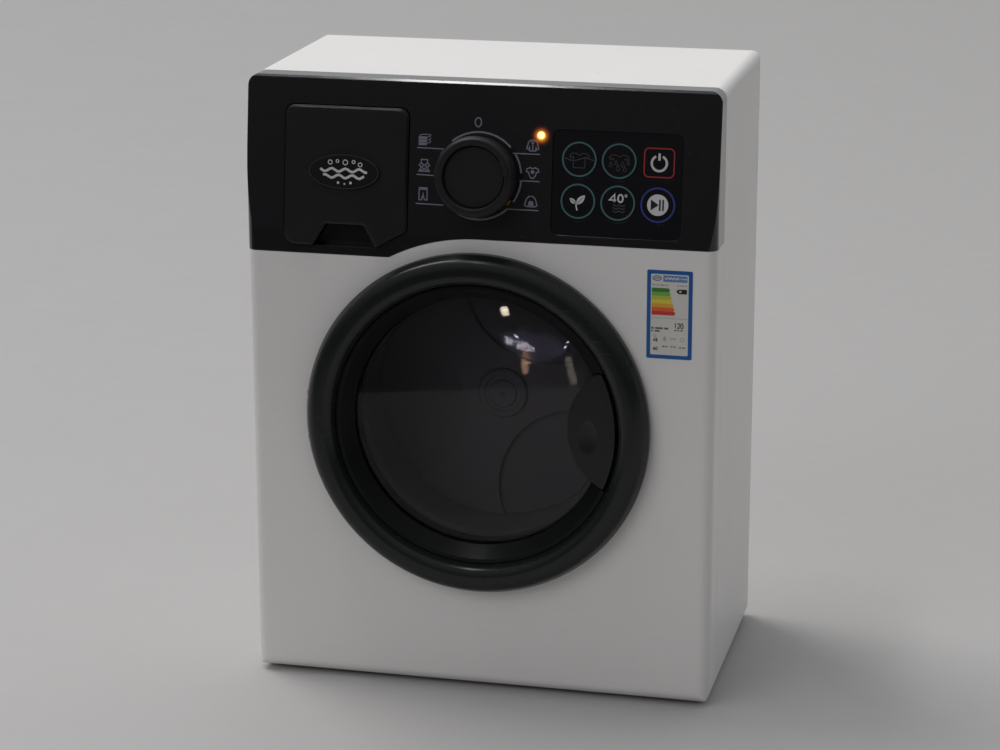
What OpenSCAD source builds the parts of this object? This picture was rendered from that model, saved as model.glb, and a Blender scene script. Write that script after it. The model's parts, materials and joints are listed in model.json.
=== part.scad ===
/* [Cabinet] */
// Width of the cabinet
body_w = 190; // [180:1:206]
// Depth of the cabinet from front face to back
body_d = 110; // [100:1:121]
// Radius of the cabinet's outer edges
edge_r = 4.5; // [3:0.5:6]
// Wall thickness of the casings
wall = 2.2; // [1.8:0.1:2.6]
// Depth of the front casing back to the seam
seam_y = 18; // [16:0.5:22]
// Shut line between neighbouring casings
seam_gap = 0.2; // [0.1:0.05:0.4]
// Height of the feet
foot_h = 1.5; // [1:0.5:4]
// Radius of each foot
foot_r = 7; // [5:0.5:9]

/* [Control panel] */
// Backward lean of the panel face in degrees
lean = 8; // [4:0.5:10]
// Height of the leaning panel face
panel_h = 60.8; // [56:0.1:66]
// Chamfer along the top front edge of the panel
crest_cut = 0.9; // [0.5:0.1:1.5]
// How far the panel's lower edge drops beside the drawer
panel_drop = 9.1; // [8:0.1:10]
// Gap between the door rim and the curved lower edge of the panel
panel_door_gap = 5.3; // [4:0.1:6]

/* [Door] */
// Height of the door ring's lowest point
door_foot = 42; // [38:0.5:48]
// Outer radius of the door ring
door_r = 70.2; // [64:0.1:77]
// Width of the rounded door ring
ring_w = 12.4; // [11:0.1:14]
// How far the ring stands in front of the cabinet
door_proud = 9; // [8:0.1:11]
// Gap between the closed door and the cabinet
door_gap = 0.5; // [0.4:0.1:1]
// Width of the sloped funnel between the ring and the window
funnel_w = 6.4; // [5.5:0.1:7]
// Thickness of the window
window_t = 1.6; // [1.2:0.1:2]
// Distance of the hinge axis in from the door's left edge
hinge_in = 2.1; // [2:0.1:2.6]
// Distance of the hinge axis in front of the cabinet face
hinge_fwd = 2.4; // [2.2:0.1:2.8]
// Radius of the hinge pin
hinge_pin_r = 0.8; // [0.6:0.05:0.9]
// Length of the hinge pin
hinge_pin_l = 20; // [18:0.5:24]
// Thickness of each hinge ear
ear_t = 3; // [2:0.5:4]
// Running clearance of a pin in its bore
run_gap = 0.05; // [0.02:0.01:0.1]

/* [Handle] */
// Gap between the handle leaf and the door ring
leaf_gap = 1.1; // [0.8:0.1:1.6]
// Width of the handle leaf at its middle
leaf_w = 19.2; // [17:0.1:21]
// Inner radius of the handle leaf's curved edge
leaf_in_r = 28; // [26:0.5:32]
// Height of the handle's middle above the door centre
leaf_mid_z = 2; // [0:0.5:4]
// Reach of the handle leaf below the door centre
leaf_below = 26.8; // [26:0.1:28]
// Reach of the handle leaf above the door centre
leaf_above = 24.6; // [24:0.1:26]
// Thickness of the handle leaf
leaf_t = 2.4; // [2:0.1:3]
// How far the handle leaf stands in front of the cabinet
leaf_proud = 4.6; // [4:0.1:5.5]
// Half width and half height of the thumb dimple
dimple = [5.9, 11.4]; // [4:0.1:13]

/* [Drum] */
// Width of the drum's front lip
lip_w = 4.7; // [3.5:0.1:5]
// How far the drum's lip reaches in past the window's edge
lip_in = 0.6; // [0.4:0.1:1.5]
// Wall of the drum
drum_wall = 1.6; // [1.2:0.1:2]
// Front edge of the drum behind the cabinet face
drum_front_y = 15; // [14.5:0.1:17]
// Height of the raised pattern on the drum's back wall
drum_relief = 3; // [2:0.1:4]
// How far the middle of each round bay lies inside the drum's rim
bay_edge = 3.5; // [2:0.5:5]
// Distance from the drum axis to the nearest edge of a bay
bay_in = 17; // [14:0.5:20]
// Radius of the hub cap
hub_r = 10.4; // [9:0.1:12]
// Radial gap between drum and tub
tub_gap = 2; // [1.5:0.1:2.2]
// Wall of the tub
tub_wall = 1.6; // [1.4:0.1:2]
// Radius of the drum shaft
shaft_r = 2.5; // [2:0.1:3]

/* [Gear train] */
// Tooth module of the drum gear pair
slow_m = 0.8; // [0.7:0.05:0.85]
// Teeth of the drum gear
drum_teeth = 48; // [44:1:50]
// Teeth of the small idler gear
idler_small_teeth = 12; // [11:1:14]
// Tooth module of the motor gear pair
fast_m = 0.6; // [0.5:0.05:0.65]
// Teeth of the large idler gear
idler_large_teeth = 40; // [36:1:42]
// Teeth of the motor pinion
pinion_teeth = 10; // [10:1:12]
// Face width of the gears
gear_w = 4; // [3:0.5:4.5]
// Share of the pitch left free as backlash
backlash = 0.16; // [0.1:0.01:0.2]
// Radius of the motor can
motor_r = 12; // [10:0.5:13]
// Length of the motor can
motor_l = 25; // [20:0.5:28]

/* [Knob] */
// Height of the knob centre up the leaning face
knob_v = 25.04; // [24:0.1:27]
// Radius of the knob at its rim
knob_r = 16; // [15:0.1:16.5]
// Height of the knob in front of the panel
knob_h = 10; // [8:0.1:11]
// Radius of the recessed knob disc
knob_disc_r = 12; // [11:0.1:12.5]
// Radius of the selector shaft
selector_r = 3; // [2.5:0.1:3.2]

/* [Detergent drawer] */
// Distance of the drawer front from the cabinet's side
drawer_edge = 16; // [14:0.5:18]
// Width of the drawer front
drawer_w = 50.4; // [46:0.1:53]
// Distance of the drawer front above the panel's lower edge
drawer_foot = 3.7; // [3.4:0.1:5]
// Height of the drawer front
drawer_h = 54.7; // [50:0.1:57]
// Shut line around the drawer front
drawer_gap = 0.35; // [0.3:0.05:0.5]
// Depth of the drawer tray behind the panel
drawer_depth = 50; // [40:1:54]
// Wall of the drawer tray
tray_wall = 1.6; // [1.2:0.1:2]
// How far the drawer front stands proud of the panel
drawer_proud = 1.2; // [0.8:0.1:2]
// Distance of the finger notch from the drawer front's left edge
notch_in = 12; // [10:0.1:14]
// Width of the finger notch
notch_w = 26; // [22:0.1:28]
// Height of the finger notch
notch_h = 8.7; // [8:0.1:10]
// Height of the cut corner beside the notch
cut_h = 6.9; // [5:0.1:8]

/* [Keys] */
// Radius of a round key
key_r = 7.3; // [7:0.1:7.5]
// Side of the square power key
key_side = 12.6; // [12:0.1:13]
// Distance between key columns
key_step_x = 15.73; // [15.5:0.01:16]
// Distance between key rows up the face
key_step_v = 16.26; // [16:0.01:16.5]
// Distance of the key film from the cabinet's side
overlay_edge = 14.4; // [12:0.1:16]
// Width of the key film
overlay_w = 51.4; // [50:0.1:53]
// Height of the key film
overlay_h = 41.2; // [40:0.1:44]
// Middle of the first key column in from the film's edge
key_in = 10.55; // [10:0.05:11.5]
// Middle of the lower key row up the face
key_v = 16.71; // [16:0.01:17.5]
// Key travel
key_travel = 0.6; // [0.4:0.1:0.8]
// Gap around each key
key_gap = 0.12; // [0.1:0.01:0.2]

/* [Battery bay and back] */
// Length of one cell
cell_l = 50.5; // [50:0.1:51]
// Radius of one cell
cell_r = 7.1; // [7:0.05:7.2]
// Height of the lowest cell's middle
cell_z = 20; // [19:0.5:30]
// Distance of the speaker's middle below the top
speaker_drop = 42.3; // [36:0.1:48]
// Radius of the speaker
speaker_r = 20; // [18:0.5:22]
// Radius of the casing screw wells
well_r = 5; // [4.6:0.1:5.2]

/* [Hidden] */
$fn = 96;

// Gap kept between parts that only rest beside each other
fit_gap = 0.2;
// Overlap that lets one moulding's features fuse
fuse = 0.4;
// The door ring's front crest is the foremost point, and the back wall the rearmost
face_y = (door_proud - body_d) / 2;
door_z = door_foot + door_r;
panel_arc_r = door_r + panel_door_gap;
panel_high_z = door_z + panel_arc_r;
panel_low_z = panel_high_z - panel_drop;
lean_z = panel_high_z - fit_gap;
body_h = lean_z + panel_h;

// Direction from a to b, of length 1
function unit(v) = v / norm(v);

// Points of the rounded corner q between p and n, with q[2] as its radius
function corner(p, q, n, steps) =
    let (c = [q[0], q[1]], a = unit([p[0], p[1]] - c), b = unit([n[0], n[1]] - c))
    let (half = acos(a * b) / 2, r = q[2])
    let (o = c + unit(a + b) * r / sin(half), s = c + a * r / tan(half), e = c + b * r / tan(half))
    let (a0 = atan2(s[1] - o[1], s[0] - o[0]), a1 = atan2(e[1] - o[1], e[0] - o[0]))
    let (turn = (a1 - a0 + 540) % 360 - 180)
    [for (i = [0 : steps]) o + r * [cos(a0 + turn * i / steps), sin(a0 + turn * i / steps)]];

// Outline through points [x, y, corner radius]
function rounded(pts, steps = 6) =
    [for (i = [0 : len(pts) - 1])
        let (q = pts[i], p = pts[(i + len(pts) - 1) % len(pts)], n = pts[(i + 1) % len(pts)])
        each q[2] > 0 ? corner(p, q, n, steps) : [[q[0], q[1]]]];

// Rectangle outline from its lowest to its highest corner
function box_path(x0, y0, x1, y1, r, steps = 6) =
    rounded([[x0, y0, r], [x1, y0, r], [x1, y1, r], [x0, y1, r]], steps);

// Depth of the panel face at a height
function lean_y(z) = max(0, (z - lean_z) * tan(lean));

module cab() {
    translate([0, face_y, foot_h]) children();
}

// Shapes drawn as seen from the front, from depth y0 to depth y1
module plate(y0, y1) {
    translate([0, y1, 0]) rotate([90, 0, 0]) linear_extrude(y1 - y0) children();
}

// Local Z stands out of the leaning panel face, local Y runs up it
module face() {
    translate([0, 0, lean_z]) rotate([90 - lean, 0, 0]) children();
}

// Shapes drawn on the panel face, from level z0 to level z1 above it
module face_plate(z0, z1) {
    face() translate([0, 0, z0]) linear_extrude(z1 - z0) children();
}

// Local Z runs back along the drum axis
module drum_axis(y = 0) {
    translate([0, y, door_z]) rotate([-90, 0, 0]) children();
}

// A ring or disc turned about the drum axis, from depth y0 to depth y1
module turned(r0, r1, y0, y1) {
    drum_axis(y0) difference() {
        cylinder(r = r1, h = y1 - y0);
        if (r0 > 0) translate([0, 0, -1]) cylinder(r = r0, h = y1 - y0 + 2);
    }
}

// A round bar along Y
module rod(x, z, r, y0, y1) {
    translate([x, y0, z]) rotate([-90, 0, 0]) cylinder(r = r, h = y1 - y0);
}

module bar(x0, x1, y0, y1, z0, z1) {
    translate([x0, y0, z0]) cube([x1 - x0, y1 - y0, z1 - z0]);
}

// The cabinet's whole outer form, moved inwards by inset
module body_form(inset) {
    r = edge_r - min(inset, edge_r - 1);
    x1 = body_w / 2 - inset;
    y1 = body_d - inset;
    z1 = body_h - inset;
    top_y = inset / cos(lean) + lean_y(z1);
    intersection() {
        plate(-1, body_d + 1) polygon(box_path(-x1, inset, x1, z1, r));
        linear_extrude(body_h + 1) polygon(box_path(-x1, inset, x1, y1, r));
        translate([-body_w / 2 - 1, 0, 0]) rotate([90, 0, 90]) linear_extrude(body_w + 2)
            polygon(rounded([[inset, inset, r], [y1, inset, r], [y1, z1, r],
                [top_y + crest_cut, z1, crest_cut / 3],
                [top_y - crest_cut * tan(lean), z1 - crest_cut, crest_cut / 3],
                [inset, lean_z + inset * tan(lean) / 2, 0]]));
    }
}

module body_shell() {
    difference() {
        body_form(0);
        body_form(wall);
    }
}

// Front outline of the white casing under the panel
module white_zone(gap) {
    translate([-body_w, -1]) square([body_w * 2, panel_low_z + 1 - gap]);
    translate([0, -1]) square([body_w, panel_high_z + 1 - gap]);
    intersection() {
        translate([0, door_z]) circle(panel_arc_r - gap);
        translate([-body_w / 2, 0]) square([body_w / 2 + 1, panel_high_z - gap]);
    }
}

// ---- casing screws ----
screw_x = body_w / 2 - wall - well_r + 1;
low_screw_z = wall + well_r + 2.8;
mid_screw_z = panel_low_z - 2 * well_r - 0.6;
top_screw_z = body_h - wall - well_r + 0.5;
boss_r = 3.8;
boss_end_y = 60;
boss_bore = 16;
well_floor = 3;
thread_r = 1.3;
head_r = 3;
head_h = 2;
front_screws = [[-screw_x, low_screw_z], [screw_x, low_screw_z],
    [-screw_x, mid_screw_z], [screw_x, mid_screw_z]];
panel_screws = [[-screw_x, top_screw_z], [screw_x, top_screw_z]];

module boss(p, y0) {
    difference() {
        rod(p[0], p[1], boss_r, y0, boss_end_y);
        rod(p[0], p[1], thread_r, boss_end_y - boss_bore, boss_end_y + 1);
    }
}

// ---- door and hinge places ----
hinge_x = -(door_r - hinge_in);
ring_in_r = door_r - ring_w;
window_r = ring_in_r - funnel_w;
drum_lip_r = window_r - lip_in;
drum_r = drum_lip_r + lip_w;
open_r = ring_in_r + fit_gap * 2;
rib_r = drum_r + tub_gap + tub_wall + fit_gap;
rib_t = 1.6;
rib_end_y = 11;
ear_r = 1.75;
ear_half = 1.2;
ear_plate_half = 2.6;
ear_plate_t = 2;
heel_r = hinge_fwd - 0.25;

module front_shell() {
    color("whitesmoke") cab() {
        difference() {
            union() {
                intersection() {
                    body_shell();
                    bar(-body_w, body_w, -1, seam_y - seam_gap, -1, body_h);
                    plate(-2, seam_y) white_zone(seam_gap);
                }
                turned(rib_r, rib_r + rib_t, wall - fuse, rib_end_y);
                for (p = front_screws) boss(p, wall - fuse);
            }
            turned(0, open_r, -1, wall + 1);
            ear_slots(fit_gap);
            striker_slot();
        }
    }
}

// Where the hinge ears are riveted through the front wall
module ear_slots(gap) {
    for (s = [-1, 1])
        bar(hinge_x - ear_half - gap, hinge_x + ear_half + gap, -1, wall + 1,
            door_z + s * (hinge_pin_l - ear_t) / 2 - ear_t / 2 - gap,
            door_z + s * (hinge_pin_l - ear_t) / 2 + ear_t / 2 + gap);
}

module hinge_ears() {
    color("dimgray") cab() difference() {
        union() {
            for (s = [-1, 1]) translate([0, 0, door_z + s * (hinge_pin_l - ear_t) / 2]) {
                translate([hinge_x, -hinge_fwd, -ear_t / 2]) cylinder(r = ear_r, h = ear_t);
                bar(hinge_x - ear_half, hinge_x + ear_half, -hinge_fwd, wall + 1, -ear_t / 2, ear_t / 2);
            }
            bar(hinge_x - ear_plate_half, hinge_x + ear_plate_half, wall, wall + ear_plate_t,
                door_z - hinge_pin_l / 2 - 2, door_z + hinge_pin_l / 2 + 2);
        }
        translate([hinge_x, -hinge_fwd, door_z - hinge_pin_l]) cylinder(r = hinge_pin_r, h = hinge_pin_l * 2);
    }
}

module hinge_pin() {
    color("silver") cab() translate([hinge_x, -hinge_fwd, door_z - hinge_pin_l / 2])
        cylinder(r = hinge_pin_r, h = hinge_pin_l);
}

// ---- rear casing ----
bay_gap = 0.5;
cell_count = 3;
cell_step = 2 * cell_r + bay_gap;
cell_nub = 1.2;
cell_nub_r = 2.7;
contact_room = 3.5;
cover_lap = 5;
cover_t = 2;
cover_gap = 0.25;
cell_y = body_d - cover_t - 1 - cell_r;
bay_x = cell_l / 2 + contact_room;
bay_z0 = cell_z - cell_r - bay_gap;
bay_z1 = cell_z + (cell_count - 1) * cell_step + cell_r + bay_gap;
bay_y = cell_y - cell_r - 1 - bay_gap;
bay_wall = 1.6;
cover_screw_z = bay_z1 + 2.2;
cover_screw_l = 3.4;
// Half width of each groove on the cover
grip_groove = 0.8;
grip_half = 14;
grip_step = 5;
grip_sink = 0.2;
speaker_x = body_w / 2 - 50;
speaker_z = body_h - speaker_drop;
speaker_h = 8;
speaker_rim_t = 2.4;
magnet_r = 11;
rim_wall = 2;
rim_h = 3;
clip_w = 4;
clip_t = 1;
grille_hole_r = 1.2;
grille_step = 4.6;

module rear_shell() {
    color("whitesmoke") cab() difference() {
        union() {
            intersection() {
                body_shell();
                bar(-body_w, body_w, seam_y, body_d + 1, -1, body_h + 1);
            }
            for (p = concat(front_screws, panel_screws))
                rod(p[0], p[1], well_r, boss_end_y + fit_gap, body_d - 1);
            bar(-bay_x - bay_wall, bay_x + bay_wall, bay_y - bay_wall, body_d - 1,
                bay_z0 - bay_wall, bay_z1 + bay_wall);
            bar(-bay_x - cover_lap - 1, bay_x + cover_lap + 1, body_d - wall - 2, body_d - 1,
                bay_z0 - cover_lap - 1, bay_z1 + cover_lap + 1);
            speaker_rim();
        }
        for (p = concat(front_screws, panel_screws)) {
            rod(p[0], p[1], head_r + 2 * fit_gap, boss_end_y + well_floor, body_d + 1);
            rod(p[0], p[1], thread_r + 0.1, boss_end_y, body_d);
        }
        bar(-bay_x, bay_x, bay_y, body_d + 1, bay_z0, bay_z1);
        bar(-bay_x - cover_lap, bay_x + cover_lap, body_d - cover_t, body_d + 1,
            bay_z0 - cover_lap, bay_z1 + cover_lap);
        rod(0, cover_screw_z, thread_r, body_d - cover_t - cover_screw_l + 0.8, body_d + 1);
        for (i = [-3 : 3], j = [-3 : 3])
            if (norm([i, j]) < 3.5)
                rod(speaker_x + i * grille_step, speaker_z + j * grille_step, grille_hole_r,
                    body_d - wall - 1, body_d + 1);
    }
}

module speaker_rim() {
    translate([speaker_x, body_d - wall + fuse, speaker_z]) rotate([90, 0, 0]) difference() {
        cylinder(r = speaker_r + rim_wall, h = rim_h + fuse);
        translate([0, 0, -1]) cylinder(r = speaker_r + fit_gap, h = rim_h + 3);
    }
}

module speaker() {
    color("dimgray") cab() {
        translate([speaker_x, body_d - wall - fit_gap, speaker_z]) rotate([90, 0, 0]) {
            difference() {
                cylinder(r = speaker_r, h = speaker_rim_t);
                translate([0, 0, -1])
                    cylinder(r1 = speaker_r - 1.5, r2 = magnet_r - 2, h = speaker_rim_t + 1.1);
            }
            translate([0, 0, speaker_rim_t - fit_gap])
                cylinder(r = magnet_r, h = speaker_h - speaker_rim_t + fit_gap);
        }
    }
}

module speaker_clips() {
    color("silver") cab() for (a = [30, 150, 270])
        translate([speaker_x, body_d - wall, speaker_z]) rotate([90, a, 0]) {
            translate([speaker_r - 1, -clip_w / 2, rim_h]) cube([rim_wall + 3.5, clip_w, clip_t]);
            translate([speaker_r + rim_wall + fit_gap, -clip_w / 2, 0]) cube([2.3, clip_w, rim_h + clip_t]);
        }
}

module battery_door() {
    x1 = bay_x + cover_lap - cover_gap;
    color("whitesmoke") cab() difference() {
        plate(body_d - cover_t, body_d)
            polygon(box_path(-x1, bay_z0 - cover_lap + cover_gap, x1, bay_z1 + cover_lap - cover_gap, 1));
        for (k = [-2 : 2]) translate([0, 0, cell_z + cell_step + grip_step * k])
            bar(-grip_half, grip_half, body_d - 2 * grip_sink, body_d + 1, -grip_groove, grip_groove);
        rod(0, cover_screw_z, head_r * 0.9, body_d - 1, body_d + 1);
        rod(0, cover_screw_z, thread_r, body_d - cover_t - 1, body_d + 1);
    }
}

module battery_screw() {
    color("silver") cab()
        screw(0, cover_screw_z, body_d - 0.1, head_r * 0.8, 0.85, thread_r - run_gap, cover_screw_l);
}

// A cross-head screw whose head faces the back at depth y
module screw(x, z, y, head, head_h, shank, length) {
    difference() {
        union() {
            rod(x, z, head, y - head_h, y);
            rod(x, z, shank, y - head_h - length, y - head_h + 0.1);
        }
        for (a = [0, 90]) translate([x, y, z]) rotate([90, a, 0])
            translate([-head * 0.6, -0.25, -1]) cube([head * 1.2, 0.5, 1 + head_h * 0.6]);
    }
}

module shell_screws() {
    color("silver") cab() for (p = concat(front_screws, panel_screws))
        screw(p[0], p[1], boss_end_y + well_floor + head_h, head_r, head_h,
            thread_r - run_gap, boss_bore - 2);
}

module batteries() {
    color("royalblue") cab() for (k = [0 : cell_count - 1])
        translate([0, cell_y, cell_z + k * cell_step]) mirror([k % 2, 0, 0]) rotate([0, 90, 0]) {
            translate([0, 0, -cell_l / 2]) cylinder(r = cell_r, h = cell_l - cell_nub);
            translate([0, 0, cell_l / 2 - cell_nub]) cylinder(r = cell_nub_r, h = cell_nub);
        }
}

module battery_contacts() {
    reach = contact_room - 0.1;
    side = 11;
    color("gold") cab() for (k = [0 : cell_count - 1], s = [-1, 1])
        translate([s * bay_x, cell_y, cell_z + k * cell_step]) rotate([0, -s * 90, 0]) {
            translate([-side / 2, -side / 2, 0]) cube([side, side, 0.5]);
            if (s * (k % 2 == 0 ? 1 : -1) < 0) cylinder(r1 = cell_r * 0.6, r2 = cell_nub_r - 0.3, h = reach);
            else cylinder(r = 1.8, h = reach);
        }
}

module feet() {
    foot_in = 16;
    color("gray") translate([0, face_y, 0]) for (x = [foot_in - body_w / 2, body_w / 2 - foot_in])
        for (y = [foot_in, body_d - foot_in]) translate([x, y, 0]) cylinder(r = foot_r, h = foot_h);
}

// ---- control panel ----
panel_t = wall;
drawer_x0 = drawer_edge - body_w / 2;
drawer_x1 = drawer_x0 + drawer_w;
drawer_z0 = panel_low_z + drawer_foot;
drawer_z1 = drawer_z0 + drawer_h;
notch_x0 = drawer_x0 + notch_in;
notch_x1 = notch_x0 + notch_w;
notch_run = 5.2;
overlay_v0 = 3.53;
overlay_v1 = overlay_v0 + overlay_h;
overlay_x1 = body_w / 2 - overlay_edge;
overlay_x0 = overlay_x1 - overlay_w;
key_x = overlay_x0 + key_in;
overlay_t = 1.2;
overlay_sink = 0.5;
led_x = overlay_x0 - 4.65;
led_v = overlay_v1 - 2.77;
led_r = 1.5;
board_z = -12;
board_t = 1.6;
mat_z = -3.4;
mat_t = 1.1;
stem_r = 2;
stem_reach = 3.4;
flange_r = 3;
flange_t = 1;
guide_wall = 1.1;
key_bore_gap = 0.3;
sleeve_gap = 0.4;
sleeve_t = 1.2;
tray_x0 = drawer_x0 + 3;
tray_x1 = drawer_x1 - 3.4;
// The finger scoop behind the drawer's notch
scoop_deep = 5.4;
scoop_rise = 9.6;
scoop_t = 1.2;
tray_z0 = drawer_z0 + scoop_rise + scoop_t + sleeve_t + 2 * sleeve_gap;
tray_z1 = drawer_z1 - 5;
tray_y = 14;
tray_back_y = lean_y(drawer_z0) + drawer_depth;

// Drawer front with its cut corner and finger notch, drawn inwards by g
module drawer_outline(g) {
    polygon(rounded([[drawer_x0 + g, drawer_z0 + g, 5], [notch_x0 - g, drawer_z0 + g, 0],
        [notch_x0 + notch_run - g, drawer_z0 + notch_h + g, 0.8],
        [notch_x1 - notch_run + g, drawer_z0 + notch_h + g, 0.8], [notch_x1 + g, drawer_z0 + g, 0],
        [drawer_x1 - g, drawer_z0 + cut_h + g / 2, 2],
        [drawer_x1 - g, drawer_z1 - g, 3.6], [drawer_x0 + g, drawer_z1 - g, 3.6]]));
}

// Everything between two levels parallel to the leaning face
module face_slab(z0, z1) {
    intersection() {
        face() translate([-body_w, -10, z0]) cube([body_w * 2, 90, z1 - z0]);
        bar(-body_w, body_w, -20, body_d, 0, body_h + 20);
    }
}

module key_outline(kind, g) {
    if (kind == "square")
        polygon(box_path(-key_side / 2 - g, -key_side / 2 - g, key_side / 2 + g, key_side / 2 + g, 2 + g));
    else
        circle(key_r + g);
}

// Places and shapes of the keys: column, row, kind
keys = [[0, 1, "round"], [1, 1, "round"], [2, 1, "square"],
    [0, 0, "round"], [1, 0, "round"], [2, 0, "round"]];

module at_key(k) {
    translate([key_x + k[0] * key_step_x, key_v + k[1] * key_step_v, 0]) children();
}

module control_panel() {
    color("#141416") cab() difference() {
        union() {
            intersection() {
                body_shell();
                bar(-body_w, body_w, -1, seam_y - seam_gap, 0, body_h + 1);
                plate(-2, seam_y + 1) difference() {
                    translate([-body_w, panel_low_z - 1]) square([body_w * 2, body_h]);
                    white_zone(0);
                }
            }
            for (p = panel_screws) boss(p, lean_y(p[1]) + wall);
            for (k = keys) face() at_key(k) translate([0, 0, mat_z + mat_t]) difference() {
                cylinder(r = key_r + guide_wall, h = -mat_z - mat_t - panel_t + fit_gap);
                translate([0, 0, -1]) cylinder(r = key_r + fit_gap, h = 4);
            }
        }
        plate(-2, 14) {
            drawer_outline(-drawer_gap);
            translate([notch_x0, drawer_z0 - drawer_gap])
                square([notch_x1 - notch_x0, notch_h + drawer_gap]);
        }
        face_plate(-overlay_sink - overlay_t, 1)
            polygon(box_path(overlay_x0, overlay_v0, overlay_x1, overlay_v1, 3));
        for (k = keys) face() at_key(k) translate([0, 0, -panel_t - 3]) linear_extrude(4)
            key_outline(k[2], key_bore_gap);
        face() translate([0, knob_v, -5]) cylinder(r = selector_r + 3 * fit_gap, h = 10);
        face() translate([led_x, led_v, -5]) cylinder(r = led_r + run_gap, h = 10);
    }
    color("#141416") cab() finger_scoop();
}

// The panel's hollow behind the drawer's notch, with a little draft on its floor
module finger_scoop() {
    low = drawer_z0 - drawer_gap;
    high = drawer_z0 + scoop_rise;
    back = scoop_deep + scoop_t;
    front = panel_t + fit_gap;
    difference() {
        union() {
            bar(notch_x0 - scoop_t, notch_x1 + scoop_t, panel_t - fuse, back, low - scoop_t, low);
            difference() {
                bar(notch_x0 - scoop_t, notch_x1 + scoop_t, front, back, low - scoop_t, high + scoop_t);
                face_slab(-front, front);
            }
        }
        translate([notch_x0, 0, 0]) rotate([90, 0, 90]) linear_extrude(notch_w)
            polygon([[-1, low], [panel_t, low], [scoop_deep, low + drawer_gap],
                [scoop_deep, high], [-1, high]]);
    }
}

module key_overlay() {
    color("#08080a") cab() face() translate([0, 0, -overlay_sink - overlay_t]) difference() {
        linear_extrude(overlay_t)
            polygon(box_path(overlay_x0 + 0.1, overlay_v0 + 0.1, overlay_x1 - 0.1, overlay_v1 - 0.1, 2.9));
        for (k = keys) at_key(k)
            translate([0, 0, -1]) linear_extrude(overlay_t + 2) key_outline(k[2], key_gap);
    }
}

// A key cap with its stem and holding flange
module key_cap(k) {
    cap_t = 0.8;
    top = -overlay_sink;
    color("#0c0c10") cab() face() at_key(k) {
        translate([0, 0, top - cap_t]) linear_extrude(cap_t) key_outline(k[2], 0);
        translate([0, 0, mat_z - stem_reach]) cylinder(r = stem_r, h = top - mat_z + stem_reach - cap_t / 2);
        translate([0, 0, mat_z - flange_t - fit_gap]) cylinder(r = flange_r, h = flange_t);
    }
}
module key_wave() { key_cap(keys[0]); }
module key_drops() { key_cap(keys[1]); }
module key_power() { key_cap(keys[2]); }
module key_leaf() { key_cap(keys[3]); }
module key_forty() { key_cap(keys[4]); }
module key_play() { key_cap(keys[5]); }

module keypad_mat() {
    color("gray") cab() face() translate([0, 0, mat_z]) difference() {
        linear_extrude(mat_t) polygon(box_path(overlay_x0, overlay_v0, overlay_x1, overlay_v1 - 0.5, 2));
        for (k = keys) at_key(k) translate([0, 0, -1]) cylinder(r = stem_r + 0.1, h = 4);
    }
}

module key_switches() {
    switch_side = 6;
    color("dimgray") cab() face() for (k = keys) at_key(k) translate([0, 0, board_z]) {
        translate([-switch_side / 2, -switch_side / 2, 0]) cube([switch_side, switch_side, 3.4]);
        cylinder(r = 1.75, h = mat_z - stem_reach - key_travel - 0.1 - board_z);
    }
}

selector_body_r = 8.5;
selector_seat = 1.7;
knob_socket = 5.1;
board_x0 = tray_x1 + sleeve_gap + sleeve_t + 6.4;
board_x1 = overlay_x1 - 0.6;
board_v0 = overlay_v0 - 0.53;
board_v1 = led_v + 8.04;
board_hole_in = 4;
board_hole_r = 1.2;
post_outer_r = 2.8;
board_screws = [[board_x0 + board_hole_in, board_v0 + board_hole_in],
    [board_x0 + board_hole_in, board_v1 - board_hole_in], [board_x1 - board_hole_in, board_v1 - 2.6]];

module control_board() {
    color("darkgreen") cab() face() translate([0, 0, board_z - board_t]) {
        difference() {
            linear_extrude(board_t) polygon(box_path(board_x0, board_v0, board_x1, board_v1, 1));
            for (p = board_screws) translate([p[0], p[1], -1]) cylinder(r = board_hole_r, h = board_t + 2);
        }
        board_chip(board_x0 + 6, board_v0 + 15, [12, 9, 1.6]);
        board_chip(overlay_x0 + 10.8, board_v0 + 17, [10, 6, 3]);
        translate([selector_body_r + 1.5, board_v0 + 5, -6]) cylinder(r = 3, h = 6 + fit_gap);
    }
}

// A chip under the board
module board_chip(x, v, size) {
    translate([x, v, -size[2]]) cube([size[0], size[1], size[2] + fit_gap]);
}

module board_screws() {
    color("silver") cab() face() for (p = board_screws) translate([p[0], p[1], board_z - board_t]) {
        translate([0, 0, -1.4]) cylinder(r = 2.4, h = 1.4);
        cylinder(r = board_hole_r - 0.1, h = 6);
        translate([0, 0, board_t]) difference() {
            cylinder(r = post_outer_r, h = -board_z - panel_t);
            translate([0, 0, -1]) cylinder(r = board_hole_r - 0.1, h = 5.4);
        }
    }
}

module status_led() {
    led_l = 6;
    color("orange") cab() face() translate([led_x, led_v, 0]) {
        translate([0, 0, -led_l]) cylinder(r = led_r, h = led_l + fit_gap);
        translate([0, 0, fit_gap]) intersection() {
            sphere(led_r);
            translate([-led_r * 2, -led_r * 2, 0]) cube(led_r * 4);
        }
        for (s = [-1, 1]) translate([s * 0.8, 0, board_z]) cylinder(r = 0.3, h = -led_l - board_z + 0.1);
    }
}

module selector_switch() {
    color("dimgray") cab() face() translate([0, knob_v, board_z]) difference() {
        cylinder(r = selector_body_r, h = 6);
        translate([0, 0, selector_seat - fit_gap]) cylinder(r = selector_r + run_gap, h = 6);
    }
}

module selector_shaft() {
    color("silver") cab() face() translate([0, knob_v, board_z + selector_seat])
        cylinder(r = selector_r, h = knob_socket - board_z - selector_seat - 0.1);
}

// ---- knob ----
knob_base_z = 0.5;
disc_sink = 2;
disc_t = 1.1;
pointer_from = 4;
pointer_to = 31;
pointer_rise = 0.9;

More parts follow.
